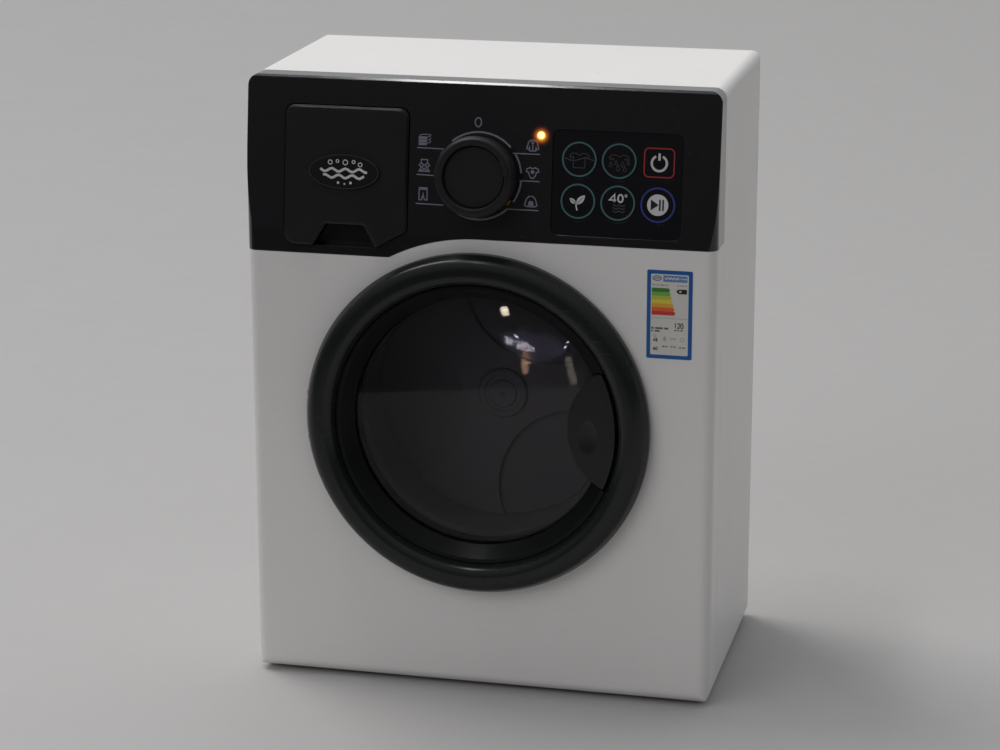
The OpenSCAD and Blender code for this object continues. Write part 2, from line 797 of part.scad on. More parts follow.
module knob_shell() {
    base_r = knob_r - 0.5;
    color("#0e0e10") cab() face() translate([0, knob_v, 0]) {
        difference() {
            rotate_extrude() polygon(rounded([[0, knob_base_z, 0], [base_r, knob_base_z, 0.4],
                [base_r + 0.1, 6, 0], [knob_r, knob_h - 2.2, 1.2], [knob_r - 1.1, knob_h, 1],
                [knob_disc_r + 0.5, knob_h, 0.4], [knob_disc_r, knob_h - disc_sink - disc_t, 0],
                [0, knob_h - disc_sink - disc_t, 0]]));
            difference() {
                translate([0, 0, -1]) cylinder(r = base_r - 1.8, h = 6);
                cylinder(r = selector_r + 1.8, h = 7);
            }
            translate([0, 0, -1]) cylinder(r = selector_r, h = 1 + knob_socket);
        }
        translate([0, 0, knob_h - 1.6]) linear_extrude(1.6 + pointer_rise) difference() {
            pointer_sector(knob_r - 1.9);
            circle(knob_disc_r + 0.35);
        }
    }
}

// The pointer's sector on the knob rim
module pointer_sector(r) {
    intersection() {
        circle(r);
        polygon([[0, 0], 2 * r * [cos(pointer_from), sin(pointer_from)],
            2 * r * [cos(pointer_to), sin(pointer_to)]]);
    }
}

module knob_disc() {
    color("#18181a") cab() face() translate([0, knob_v, knob_h - disc_sink - disc_t]) {
        cylinder(r = knob_disc_r - 0.15, h = disc_t);
        translate([0, 0, disc_t]) cylinder(r1 = 0.6, r2 = 0.25, h = 0.4);
    }
}

// ---- detergent drawer ----
module drawer_front() {
    color("#141416") cab() {
        intersection() {
            plate(-6, 20) drawer_outline(0);
            face_slab(-2, drawer_proud - 0.6);
        }
        intersection() {
            plate(-6, 20) drawer_outline(0.55);
            face_slab(-1, drawer_proud);
        }
    }
}

module drawer_tray() {
    front_y = 3;
    color("#222226") cab() difference() {
        bar(tray_x0, tray_x1, 0, tray_back_y, tray_z0, tray_z1);
        face_slab(-2, 30);
        bar(-body_w, body_w, -20, front_y, 0, lean_z + 6);
        bar(tray_x0 + tray_wall, tray_x1 - tray_wall, tray_y, tray_back_y - tray_wall,
            tray_z0 + tray_wall, tray_z1 + 1);
        bar(tray_x0 + tray_wall, tray_x1 - tray_wall, -6, tray_y - tray_wall, tray_z0 - 1, tray_z1 + 1);
    }
}

module drawer_badge() {
    half_w = 14.5;
    half_h = 7;
    color("#0a0a0c") cab() face()
        translate([(drawer_x0 + drawer_x1) / 2 - 0.4, drawer_h * 0.4442, drawer_proud])
        scale([half_w / half_h, 1, 1]) cylinder(r = half_h, h = 1.1);
}

module drawer_sleeve() {
    x0 = tray_x0 - sleeve_gap;
    x1 = tray_x1 + sleeve_gap;
    z0 = tray_z0 - sleeve_gap;
    z1 = drawer_z1 - 3;
    color("whitesmoke") cab() difference() {
        bar(x0 - sleeve_t, x1 + sleeve_t, wall, tray_back_y + 3, z0 - sleeve_t, z1 + sleeve_t);
        bar(x0, x1, 0, tray_back_y + 1.6, z0, z1);
        face_slab(-panel_t - 0.05, 30);
        bar(-body_w, body_w, -1, wall + 0.05, 0, lean_z + 5);
    }
}

// ---- door ----
ring_wall = 2;
hinge_block = hinge_pin_l / 2 + 4;
relief_h = hinge_pin_l / 2 + 12;
plug_r = ring_in_r - 2 * fit_gap;
funnel_rim_gap = 0.08;
funnel_rim_w = 2.8;
screw_ring_r = (window_r + 2.4 + plug_r) / 2;
funnel_y = -4.2;
window_y = 3;
plug_y = window_y + window_t + 2.4;
leaf_out_r = ring_in_r - leaf_gap;
leaf_in_x = leaf_out_r - leaf_w + leaf_in_r;
leaf_hinge_x = leaf_out_r - 4.1;
leaf_hinge_y = -0.4;
leaf_lug_z = [door_z - 14.2, door_z + 13.8];
leaf_lug_h = 4;
leaf_ear_h = 2.5;
lug_r = 1.5;
lug_eye_r = 1.2;
leaf_pin_l = leaf_lug_z[1] - leaf_lug_z[0] + leaf_lug_h + 2 * leaf_ear_h + 1;
leaf_mid = (leaf_lug_z[0] + leaf_lug_z[1]) / 2;
leaf_floor_y = 1.4;
window_seat = 1.2;
retainer_screw_r = 0.7;
tongue_t = 1.5;
tongue_x1 = leaf_out_r - 0.5;
tongue_x0 = tongue_x1 - tongue_t;
tongue_z = door_z - 3;
tongue_h = 8;
tongue_end_y = plug_y + 3.4;
barb = 1.6;

// Section of the door ring: radius against depth
ring_section = rounded([[ring_in_r, -door_gap, 0.4], [door_r, -door_gap, 0.3],
    [door_r, -3.4, 2.6], [door_r - 2.6, -door_proud, 5.2], [ring_in_r + 1.6, -door_proud, 4.4],
    [ring_in_r, -3.6, 1.5]], 8);

module door_ring() {
    color("#202424") cab() difference() {
        union() {
            difference() {
                drum_axis() rotate_extrude($fn = 128) polygon(ring_section);
                turned(ring_in_r + ring_wall, door_r - ring_wall, -door_proud + 3.4, 1);
            }
            intersection() {
                drum_axis() rotate_extrude($fn = 128) polygon(ring_section);
                bar(-door_r - 1, -ring_in_r, -door_proud, 1,
                    door_z - hinge_block - 1, door_z + hinge_block + 1);
            }
        }
        hinge_relief();
        ear_sweeps();
        translate([hinge_x, -hinge_fwd, door_z - hinge_block])
            cylinder(r = hinge_pin_r + run_gap, h = 2 * hinge_block);
    }
}

// Rounds the ring's heel so that it can turn past the cabinet face
module hinge_relief() {
    difference() {
        bar(hinge_x - 6, hinge_x, -hinge_fwd, 2, door_z - relief_h, door_z + relief_h);
        translate([hinge_x, -hinge_fwd, door_z - relief_h - 1]) cylinder(r = heel_r, h = 2 * relief_h + 2);
    }
}

// Room for the ears over the door's whole swing
module ear_sweeps() {
    ear_mid = (hinge_pin_l - ear_t) / 2;
    for (s = [-1, 1]) translate([hinge_x, -hinge_fwd, door_z + s * ear_mid - ear_t / 2 - 0.25]) {
        cylinder(r = ear_r + 0.3, h = ear_t + 0.5);
        linear_extrude(ear_t + 0.5) intersection() {
            circle(4.4);
            polygon([[0, -1.6], [3, 6], [-2.4, 6], [-9, 3], [-9, -4.3], [-1.6, -2.4]]);
        }
    }
}

module door_funnel() {
    rim_r = ring_in_r - funnel_rim_gap;
    color("#16191a") cab() difference() {
        union() {
            drum_axis() rotate_extrude($fn = 128) polygon(rounded([[rim_r, funnel_y, 0.3],
                [rim_r, funnel_y + funnel_rim_w, 0], [plug_r, funnel_y + funnel_rim_w, 0],
                [plug_r, window_y + window_t, 0], [window_r + window_seat + 0.1, window_y + window_t, 0],
                [window_r + window_seat + 0.1, window_y, 0], [window_r, window_y, 0.2],
                [window_r, window_y - 1.6, 0.4], [plug_r - 1.4, funnel_y, 0.4]]));
            intersection() {
                turned(window_r - 4, plug_r, leaf_floor_y, window_y);
                leaf_plan(-0.6);
            }
        }
        leaf_pocket();
        tongue_slot();
    }
    color("#16191a") cab() leaf_ears();
}

// Ears that hold the handle's pin behind the leaf
module leaf_ears() {
    z0 = [leaf_mid - leaf_pin_l / 2, leaf_mid + leaf_pin_l / 2 - leaf_ear_h];
    difference() {
        for (z = z0) {
            translate([leaf_hinge_x, leaf_hinge_y, z]) cylinder(r = lug_eye_r, h = leaf_ear_h);
            bar(leaf_hinge_x - lug_eye_r, leaf_hinge_x + lug_eye_r,
                leaf_hinge_y, window_y - 0.4, z, z + leaf_ear_h);
        }
        translate([leaf_hinge_x, leaf_hinge_y, leaf_mid - leaf_pin_l])
            cylinder(r = hinge_pin_r, h = 2 * leaf_pin_l);
    }
}

// Slot that lets the catch tongue swing with the handle
module tongue_slot() {
    bar(window_r + window_seat + 0.15, plug_r + 1, -3, plug_y + 1, tongue_z - tongue_h / 2 - 0.3,
        tongue_z + tongue_h / 2 + 0.3);
}

// The leaf's outline extruded through the door, grown by g
module leaf_plan(g) {
    plate(-12, 9) leaf_outline(g);
}

module leaf_outline(g) {
    intersection() {
        translate([0, door_z]) circle(g > 0 ? ring_in_r + g : leaf_out_r + g);
        translate([leaf_in_x, door_z + leaf_mid_z]) circle(leaf_in_r + g);
        translate([0, door_z - leaf_below - g]) square([door_r, leaf_below + leaf_above + 2 * g]);
    }
}

module leaf_pocket() {
    intersection() {
        leaf_plan(0.6);
        bar(0, door_r, -12, leaf_floor_y, 0, body_h);
    }
}

module door_handle() {
    color("#2a2e30") cab() difference() {
        union() {
            plate(-leaf_proud, -leaf_proud + leaf_t) leaf_outline(0);
            for (z = leaf_lug_z) {
                translate([leaf_hinge_x, leaf_hinge_y, z]) cylinder(r = lug_r, h = leaf_lug_h, center = true);
                bar(leaf_hinge_x - lug_r, leaf_hinge_x + lug_r, -leaf_proud + leaf_t / 2, leaf_hinge_y,
                    z - leaf_lug_h / 2, z + leaf_lug_h / 2);
            }
        }
        translate([leaf_hinge_x, leaf_hinge_y, leaf_mid - leaf_pin_l])
            cylinder(r = hinge_pin_r + run_gap, h = 2 * leaf_pin_l);
        translate([leaf_out_r - 10.9, -leaf_proud - 3.1, door_z - 1.3])
            scale([dimple[0] / dimple[1], 0.35, 1])
            sphere(dimple[1]);
    }
}

module handle_pin() {
    color("silver") cab() translate([leaf_hinge_x, leaf_hinge_y, leaf_mid - leaf_pin_l / 2])
        cylinder(r = hinge_pin_r, h = leaf_pin_l);
}

module handle_spring() {
    color("silver") cab() translate([leaf_hinge_x, leaf_hinge_y, leaf_mid + 3]) difference() {
        cylinder(r = 1.4, h = 7);
        translate([0, 0, -1]) cylinder(r = hinge_pin_r + run_gap, h = 9);
    }
}

module door_window() {
    color([0.2, 0.2, 0.22, 0.4]) cab() drum_axis(window_y) difference() {
        cylinder(r = window_r + window_seat, h = window_t);
        translate([0, 0, window_t]) scale([1, 1, 0.02]) sphere(window_r - 2);
    }
}

module window_retainer() {
    color("#16191a") cab() difference() {
        turned(window_r - 0.6, plug_r, window_y + window_t, plug_y);
        tongue_slot();
        for (a = [45 : 90 : 315]) drum_axis(window_y) rotate([0, 0, a])
            translate([screw_ring_r, 0, 0]) cylinder(r = retainer_screw_r, h = plug_y);
    }
}

module retainer_screws() {
    color("silver") cab() for (a = [45 : 90 : 315]) drum_axis(plug_y) rotate([0, 0, a])
        translate([screw_ring_r, 0, 0]) {
            cylinder(r = 2 * retainer_screw_r, h = retainer_screw_r);
            translate([0, 0, -plug_y + window_y + window_t])
                cylinder(r = retainer_screw_r, h = plug_y - window_y - window_t + 0.1);
        }
}

module catch_tongue() {
    color("#2a2e30") cab() {
        bar(tongue_x0, tongue_x1, -leaf_proud + leaf_t, tongue_end_y,
            tongue_z - tongue_h / 2, tongue_z + tongue_h / 2);
        bar(tongue_x0, tongue_x1 + barb, tongue_end_y - barb, tongue_end_y, tongue_z - tongue_h / 2,
            tongue_z + tongue_h / 2);
    }
}

// Notch in the rim that the catch tongue snaps past
module striker_slot() {
    bar(plug_r - 1, rib_r - 0.1, -1, wall + 1, tongue_z - tongue_h / 2 - 1, tongue_z + tongue_h / 2 + 1);
    bar(plug_r - 1, rib_r + rib_t + 1, wall + 1.4, rib_end_y + 1, tongue_z - tongue_h / 2 - 1,
        tongue_z + tongue_h / 2 + 1);
}

// ---- drum and tub ----
tub_r = drum_r + tub_gap;
bay_out = drum_r - bay_edge;
bay_r = bay_out - bay_in;
// Depths along the drive, from the back wall forwards
bracket_t = 2;
motor_boss_t = 1.6;
motor_back_gap = 3.7;
bracket_y = body_d - wall - motor_back_gap - motor_boss_t - motor_l - bracket_t;
large_gear_y = bracket_y - gear_w - 2;
gear_y = large_gear_y - gear_w - 3;
bush_end_y = gear_y - 3.5;
tub_end_y = bush_end_y - 5;
drum_end_y = tub_end_y - 4;
hub_y = drum_end_y - 5.6;
drum_skin = 0.8;
idler_x = -(drum_teeth + idler_small_teeth) * slow_m / 2;
motor_x = idler_x - (idler_large_teeth + pinion_teeth) * fast_m / 2;
post_r = 3.5;
post_screw_r = 0.9;
bush_r = 5;
axle_r = 1.5;
pinion_shaft_r = 1;
motor_screw_out = 8;
motor_nose_r = 3;
motor_bore = 6;
posts = [[12, 29], [12, -29], [-53, 9]];

module drum_tub() {
    color("gainsboro") cab() difference() {
        union() {
            turned(tub_r, tub_r + tub_wall, wall + 0.2, tub_end_y);
            turned(0, tub_r + tub_wall, tub_end_y - tub_wall, tub_end_y);
            turned(0, bush_r + 3, tub_end_y - tub_wall, bush_end_y);
            for (p = posts) rod(p[0], door_z + p[1], post_r, tub_end_y - tub_wall / 2, bracket_y);
            rod(idler_x, door_z, post_r, tub_end_y - tub_wall / 2, gear_y - 0.4);
        }
        turned(0, bush_r, tub_end_y - tub_wall - 1, bush_end_y + 1);
        rod(idler_x, door_z, axle_r, tub_end_y - 0.01, bracket_y);
        for (p = posts) rod(p[0], door_z + p[1], post_screw_r, bracket_y - 8, bracket_y + 1);
        bar(tub_r - 2, tub_r + 4, -1, rib_end_y + 1,
            tongue_z - tongue_h / 2 - 1, tongue_z + tongue_h / 2 + 1);
    }
}

module door_seal() {
    color("#303034") cab() difference() {
        drum_axis() rotate_extrude() polygon(rounded([
            [drum_lip_r + 0.6, plug_y + 0.9, 0.8], [tub_r - 0.1, plug_y + 0.9, 0],
            [tub_r - 0.1, plug_y + 6, 0],
            [drum_lip_r + 3, plug_y + 6, 0.8], [drum_lip_r + 0.6, plug_y + 4, 0.8]]));
        bar(tongue_x0 - 3, tub_r + 1, plug_y, tongue_end_y + 1, tongue_z - tongue_h / 2 - 1,
            tongue_z + tongue_h / 2 + 1);
    }
}

module drum_shell() {
    color("#3a3c40") cab() {
        difference() {
            turned(0, drum_r, drum_front_y, drum_end_y);
            turned(0, drum_r - drum_wall, drum_front_y + drum_wall, drum_end_y - drum_wall);
            turned(0, drum_lip_r, drum_front_y - 1, drum_front_y + drum_wall + 1);
            turned(0, shaft_r, drum_end_y - drum_wall - 1, drum_end_y + 1);
        }
    }
}

module drum_back() {
    y1 = drum_end_y - drum_wall;
    color("#33353a") cab() difference() {
        turned(shaft_r, drum_r - drum_wall - 0.3, y1 - drum_relief, y1);
        for (a = [69, 189, 309])
            rod(bay_out * cos(a), door_z + bay_out * sin(a), bay_r, y1 - drum_relief - 1, y1 - drum_skin);
        turned(0, hub_r + 0.3, y1 - drum_relief - 1, y1 - drum_skin);
    }
}

module hub_cap() {
    y1 = drum_end_y - drum_wall - drum_skin;
    groove_in = hub_r - 4.6;
    groove_out = hub_r - 2.6;
    color("#2c2e32") cab() drum_axis() rotate_extrude() polygon([[0, hub_y - 2.4], [1.2, hub_y - 0.9],
        [groove_in - 0.2, hub_y - 0.9], [groove_in + 0.2, hub_y], [groove_out - 0.2, hub_y],
        [groove_out + 0.2, hub_y - 0.5], [hub_r - 0.6, hub_y - 0.5],
        [hub_r, hub_y + 0.3], [hub_r, y1], [0, y1]]);
}

module drum_shaft() {
    y0 = drum_end_y - drum_wall - drum_skin;
    color("silver") cab() drum_axis(y0) cylinder(r = shaft_r, h = bracket_y + bracket_t - 0.2 - y0);
}

module drum_bush() {
    color("goldenrod") cab() turned(shaft_r + run_gap, bush_r, tub_end_y - tub_wall, bush_end_y);
}

// ---- gears ----
// Involute point at base radius rb and radius r, as an angle from the tooth's root
function inv_angle(rb, r) = r <= rb ? 0 : let (a = acos(rb / r)) tan(a) * 180 / PI - a;

// Outline of a spur gear with z teeth of module m
function gear_path(m, z) =
    let (rp = m * z / 2, rb = rp * cos(20), ra = rp + 0.9 * m, rf = rp - 1.2 * m)
    let (half = 90 / z * (1 - backlash) + inv_angle(rb, rp), rs = max(rb, rf))
    let (radii = [for (i = [0 : 3]) rs + (ra - rs) * i / 3])
    [for (k = [0 : z - 1]) each concat(
        [rf * [cos(k * 360 / z - half), sin(k * 360 / z - half)]],
        [for (r = radii) let (a = k * 360 / z - half + inv_angle(rb, r)) r * [cos(a), sin(a)]],
        [for (i = [3 : -1 : 0]) let (r = radii[i], a = k * 360 / z + half - inv_angle(rb, r))
            r * [cos(a), sin(a)]],
        [rf * [cos(k * 360 / z + half), sin(k * 360 / z + half)]])];

// A gear about an axis along Y, turned by phase
module gear(m, z, x, y, w, phase) {
    translate([x, y + w, door_z]) rotate([90, 0, 0]) rotate([0, 0, phase])
        linear_extrude(w) polygon(gear_path(m, z));
}

module drum_gear() {
    boss_out_r = shaft_r + 3.5;
    web_r = drum_teeth * slow_m / 2 - 7.7;
    color("white") cab() difference() {
        union() {
            gear(slow_m, drum_teeth, 0, gear_y, gear_w, 180);
            turned(0, boss_out_r, bush_end_y + 0.3, gear_y + gear_w + 2);
        }
        turned(0, shaft_r, bush_end_y - 1, bracket_y);
        for (a = [30 : 60 : 330]) drum_axis(gear_y - 1) rotate([0, 0, a]) translate([web_r, 0, 0])
            cylinder(r = 3, h = gear_w + 2);
    }
}

module idler_gear() {
    color("ivory") cab() difference() {
        union() {
            gear(slow_m, idler_small_teeth, idler_x, gear_y - 0.3, large_gear_y - gear_y + 0.8,
                180 / idler_small_teeth);
            gear(fast_m, idler_large_teeth, idler_x, large_gear_y, gear_w - 1, 180);
        }
        rod(idler_x, door_z, axle_r + run_gap, gear_y - 2, bracket_y);
    }
}

module motor_pinion() {
    color("goldenrod") cab() difference() {
        gear(fast_m, pinion_teeth, motor_x, large_gear_y - 0.6, gear_w + 0.4, 180 / pinion_teeth);
        rod(motor_x, door_z, pinion_shaft_r, large_gear_y - 2, bracket_y + 1);
    }
}

module motor_shaft() {
    color("silver") cab()
        rod(motor_x, door_z, pinion_shaft_r, large_gear_y - 0.6, bracket_y + bracket_t + motor_bore);
}

module idler_axle() {
    color("silver") cab() rod(idler_x, door_z, axle_r, tub_end_y, bracket_y + bracket_t);
}

module gear_bracket() {
    through_y = bracket_y + 2 * bracket_t + 1;
    color("gray") cab() difference() {
        union() {
            plate(bracket_y, bracket_y + bracket_t) polygon(rounded([
                [posts[0][0] + 5, door_z + posts[0][1] + 5, 4],
                [posts[0][0] - 6, door_z + posts[0][1] + 5, 4],
                [posts[2][0] - 5, door_z + 16, 4], [posts[2][0] - 5, door_z - 14, 4],
                [posts[1][0] - 6, door_z + posts[1][1] - 5, 4],
                [posts[1][0] + 5, door_z + posts[1][1] - 5, 4]]));
            rod(0, door_z, bush_r, bracket_y, bracket_y + 2 * bracket_t);
        }
        rod(0, door_z, shaft_r + run_gap, bracket_y - 1, through_y);
        rod(idler_x, door_z, axle_r, bracket_y - 1, through_y);
        rod(motor_x, door_z, motor_nose_r + 0.1, bracket_y - 1, through_y);
        for (p = posts) rod(p[0], door_z + p[1], post_screw_r + fit_gap, bracket_y - 1, through_y);
        for (s = [-1, 1])
            rod(motor_x, door_z + s * motor_screw_out, post_screw_r + fit_gap, bracket_y - 1, through_y);
    }
}

module motor_can() {
    y0 = bracket_y + bracket_t;
    color("silver") cab() difference() {
        union() {
            rod(motor_x, door_z, motor_r, y0, y0 + motor_l);
            rod(motor_x, door_z, motor_nose_r, y0 - motor_boss_t, y0 + 0.1);
            rod(motor_x, door_z, motor_nose_r + 1, y0 + motor_l - 0.1, y0 + motor_l + motor_boss_t);
        }
        rod(motor_x, door_z, pinion_shaft_r + run_gap, y0 - 3, y0 + motor_bore + 0.4);
        for (s = [-1, 1]) rod(motor_x, door_z + s * motor_screw_out, post_screw_r, y0 - 1, y0 + 3);
    }
}

module motor_screws() {
    color("silver") cab() {
        for (s = [-1, 1]) translate([motor_x, bracket_y, door_z + s * motor_screw_out]) rotate([-90, 0, 0]) {
            translate([0, 0, -1]) cylinder(r = post_screw_r + 0.8, h = 1);
            cylinder(r = post_screw_r, h = bracket_t + 2.8);
        }
        for (p = posts) translate([p[0], bracket_y + bracket_t, door_z + p[1]]) rotate([-90, 0, 0]) {
            cylinder(r = post_screw_r + 1.3, h = 1.4);
            translate([0, 0, -bracket_t - 6]) cylinder(r = post_screw_r, h = bracket_t + 6.1);
        }
    }
}

// ---- front sticker ----
module front_sticker() {
    x1 = body_w / 2 - 9.1;
    z1 = panel_high_z - 8.35;
    color("#2a6ea8") cab() plate(-0.12, 0) polygon(box_path(x1 - 17.9, z1 - 35.45, x1, z1, 0.6));
}

front_shell();
rear_shell();
control_panel();
key_overlay();
drawer_sleeve();
drum_tub();
door_seal();
drum_bush();
gear_bracket();
idler_axle();
motor_can();
motor_screws();
control_board();
selector_switch();
keypad_mat();
key_switches();
status_led();
speaker();
speaker_clips();
battery_contacts();
batteries();
hinge_pin();
hinge_ears();
feet();
shell_screws();
board_screws();
front_sticker();
door_ring();
door_funnel();
door_window();
window_retainer();
retainer_screws();
handle_pin();
handle_spring();
door_handle();
catch_tongue();
drum_shell();
drum_back();
hub_cap();
drum_shaft();
drum_gear();
idler_gear();
motor_shaft();
motor_pinion();
knob_shell();
knob_disc();
selector_shaft();
drawer_front();
drawer_tray();
drawer_badge();
key_wave();
key_drops();
key_power();
key_leaf();
key_forty();
key_play();
battery_door();
battery_screw();
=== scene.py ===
import json
import math

import bmesh
import bpy
from mathutils import Matrix, Vector


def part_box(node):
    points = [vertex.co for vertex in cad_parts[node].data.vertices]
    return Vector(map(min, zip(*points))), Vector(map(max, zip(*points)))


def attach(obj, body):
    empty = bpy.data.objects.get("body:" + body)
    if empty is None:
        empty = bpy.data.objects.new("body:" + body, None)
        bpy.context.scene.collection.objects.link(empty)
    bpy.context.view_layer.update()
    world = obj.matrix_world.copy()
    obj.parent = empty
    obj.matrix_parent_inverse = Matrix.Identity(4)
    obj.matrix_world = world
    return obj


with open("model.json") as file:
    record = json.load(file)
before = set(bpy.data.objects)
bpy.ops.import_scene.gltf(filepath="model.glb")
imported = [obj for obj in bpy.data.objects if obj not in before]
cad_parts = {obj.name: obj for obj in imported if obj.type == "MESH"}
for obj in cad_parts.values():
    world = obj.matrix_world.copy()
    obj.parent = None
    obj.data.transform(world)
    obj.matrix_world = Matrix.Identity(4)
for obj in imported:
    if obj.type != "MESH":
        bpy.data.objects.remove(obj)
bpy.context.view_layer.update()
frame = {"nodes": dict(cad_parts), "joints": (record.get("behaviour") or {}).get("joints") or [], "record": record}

NODES = frame["nodes"]
MM = 0.001


def joint(name):
    """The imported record's joint of that name."""
    return next(j for j in frame["joints"] if j["name"] == name)


# The leaning panel face: its middle is the knob's centre, and OUT stands out of it.
KNOB = Vector(joint("knob_turn")["pos_m"])
OUT = Vector(joint("knob_turn")["axis"]).normalized()
RIGHT = Vector((1, 0, 0))
UP = OUT.cross(RIGHT)


# ---------------------------------------------------------------- places

def on_face(x, up, lift):
    """A point on the panel face, in millimetres from the knob's centre."""
    return KNOB + (RIGHT * x + UP * up + OUT * lift) * MM


def face_place(node):
    """The middle of a node on the panel face, as (x, up) in millimetres from the knob's centre."""
    low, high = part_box(node)
    away = ((Vector(low) + Vector(high)) / 2 - KNOB) / MM
    return away.dot(RIGHT), away.dot(UP)


def on_sticker(x, z, lift):
    """A point on the front sticker, in millimetres from its lower left corner."""
    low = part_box("front_sticker")[0]
    return Vector((low[0] + x * MM, low[1] - lift * MM, low[2] + z * MM))


# ---------------------------------------------------------------- camera and studio

CAMERA_AT = Vector((0.2596, -1.0965, 0.4447))
CAMERA_YAW = math.radians(-13.46)
CAMERA_DOWN = math.radians(16.09)
CAMERA_ROLL = math.radians(-0.12)
FOCAL_PX = 2824.0
FRAME_WIDE, FRAME_HIGH = 1000, 750
SENSOR = 36.0
NEAR_CLIP, FAR_CLIP = 0.05, 50


def make_camera():
    """The camera at the product shot's angle."""
    data = bpy.data.cameras.new("camera")
    data.sensor_width = SENSOR
    data.lens = SENSOR * FOCAL_PX / FRAME_WIDE
    data.clip_start = NEAR_CLIP
    data.clip_end = FAR_CLIP
    camera = bpy.data.objects.new("camera", data)
    bpy.context.scene.collection.objects.link(camera)
    ahead = Vector((math.sin(CAMERA_YAW) * math.cos(CAMERA_DOWN),
                    math.cos(CAMERA_YAW) * math.cos(CAMERA_DOWN), -math.sin(CAMERA_DOWN)))
    side = ahead.cross(Vector((0, 0, 1))).normalized()
    top = side.cross(ahead)
    right = math.cos(CAMERA_ROLL) * side + math.sin(CAMERA_ROLL) * top
    up = -math.sin(CAMERA_ROLL) * side + math.cos(CAMERA_ROLL) * top
    turn = Matrix((right, up, -ahead)).transposed()
    camera.matrix_world = Matrix.Translation(CAMERA_AT) @ turn.to_4x4()
    bpy.context.scene.camera = camera


def area_light(name, at, target, size, power, color):
    """A soft rectangular lamp that faces a point."""
    data = bpy.data.lights.new(name, "AREA")
    data.shape = "RECTANGLE"
    data.size, data.size_y = size
    data.energy = power
    data.color = color
    lamp = bpy.data.objects.new(name, data)
    bpy.context.scene.collection.objects.link(lamp)
    lamp.location = at
    lamp.rotation_euler = (Vector(target) - Vector(at)).to_track_quat("-Z", "Y").to_euler()
    return lamp


# The wide main lamp: where it shines from, its power, its width in degrees and its colour.
SUN_FROM = Vector((-0.62, 0.30, 1.0))
SUN_POWER, SUN_WIDTH, SUN_COLOR = 1.24, 30, (1.0, 0.985, 0.965)
# The dome's strength at the horizon and overhead, what it gains behind and how far round it has
# gained all of that, its colour, and the strength of the pale backdrop that the camera sees.
DOME_LOW, DOME_HIGH, DOME_BEHIND, DOME_TURN = 0.03, 0.42, 0.47, 0.7
DOME_COLOR = (0.97, 0.98, 1.0, 1)
BACKDROP = 0.40
# Two area lamps: place, what it faces, sides in metres, power in watts and colour.
FRONT_FILL = ((-1.1, -1.9, 1.5), (0, 0, 0.12), (1.4, 1.4), 12.0, (0.99, 0.985, 1.0))
CEILING_STRIP = ((-0.48, -0.16, 2.2), (0, -0.05, 0.25), (0.66, 0.16), 6.6, (0.98, 0.985, 1.0))
# The table's half size, and its near edge: where it lies under the middle, how that changes with
# each metre to the right, and where it straightens at the left.
TABLE_REACH = 6.0
TABLE_EDGE, TABLE_SLOPE, TABLE_BEND = -0.503, -0.348, -2.0


def make_dome():
    """A dim dome in front and overhead, with the pale backdrop's light behind."""
    world = bpy.data.worlds.new("studio")
    bpy.context.scene.world = world
    world.use_nodes = True
    tree = world.node_tree
    shade = tree.nodes["Background"]
    way = tree.nodes.new("ShaderNodeTexCoord")
    split = tree.nodes.new("ShaderNodeSeparateXYZ")
    tree.links.new(way.outputs["Generated"], split.inputs["Vector"])
    high = stretch(tree, split.outputs["Z"], 0.0, 1.0, DOME_LOW, DOME_HIGH)
    behind = stretch(tree, split.outputs["Y"], 0.0, DOME_TURN, 0.0, DOME_BEHIND)
    light = math_node(tree, "ADD", high, behind)
    seen = tree.nodes.new("ShaderNodeLightPath").outputs["Is Camera Ray"]
    bare = math_node(tree, "MULTIPLY", light, math_node(tree, "SUBTRACT", 1.0, seen))
    tree.links.new(math_node(tree, "ADD", bare, math_node(tree, "MULTIPLY", seen, BACKDROP)),
                   shade.inputs["Strength"])
    shade.inputs["Color"].default_value = DOME_COLOR


def make_sun():
    """The wide main lamp, above, behind and to the left."""
    data = bpy.data.lights.new("overhead", "SUN")
    data.energy = SUN_POWER
    data.angle = math.radians(SUN_WIDTH)
    data.color = SUN_COLOR
    lamp = bpy.data.objects.new("overhead", data)
    bpy.context.scene.collection.objects.link(lamp)
    lamp.rotation_euler = SUN_FROM.to_track_quat("Z", "Y").to_euler()


# Small bright things in the room in front, which the window mirrors: each one's outline where it
# shows in the camera's frame, in pixels, its colour and its strength. CARD_AWAY is their distance
# from the window in metres.
CARDS = (
    ("card_lamp", [(500, 308), (507, 307), (509, 315), (502, 316)], (1.0, 0.88, 0.66), 70.0),
    ("card_spark", [(515, 335.5), (518, 335.5), (518, 338.5), (515, 338.5)],
     (0.8, 0.86, 1.0), 120.0),
    ("card_shelf", [(504, 336), (514, 340), (530, 343), (535, 348), (534, 353), (519, 349),
                    (507, 345)], (0.90, 0.84, 1.0), 34.0),
    ("card_shade", [(522, 349.5), (535, 353.5), (534, 361), (529, 364), (522, 361)],
     (1.0, 0.56, 0.30), 30.0),
    ("card_base", [(521, 361.5), (527, 364), (529, 373), (523, 374)], (1.0, 0.60, 0.42), 14.0),
    ("card_haze", [(499, 333), (522, 330), (556, 338), (567, 352), (536, 366), (506, 351)],
     (0.60, 0.55, 1.0), 1.0),
    ("card_post", [(565, 357), (571, 357), (577, 382), (571, 386)], (1.0, 0.86, 0.74), 4.5),
    ("card_dot_left", [(564, 346), (566.4, 346), (566.4, 348.4), (564, 348.4)],
     (0.7, 0.75, 1.0), 60.0),
    ("card_dot_right", [(567, 341), (568.6, 341), (568.6, 342.6), (567, 342.6)],
     (0.7, 0.75, 1.0), 50.0),
)
CARD_AWAY = 0.75


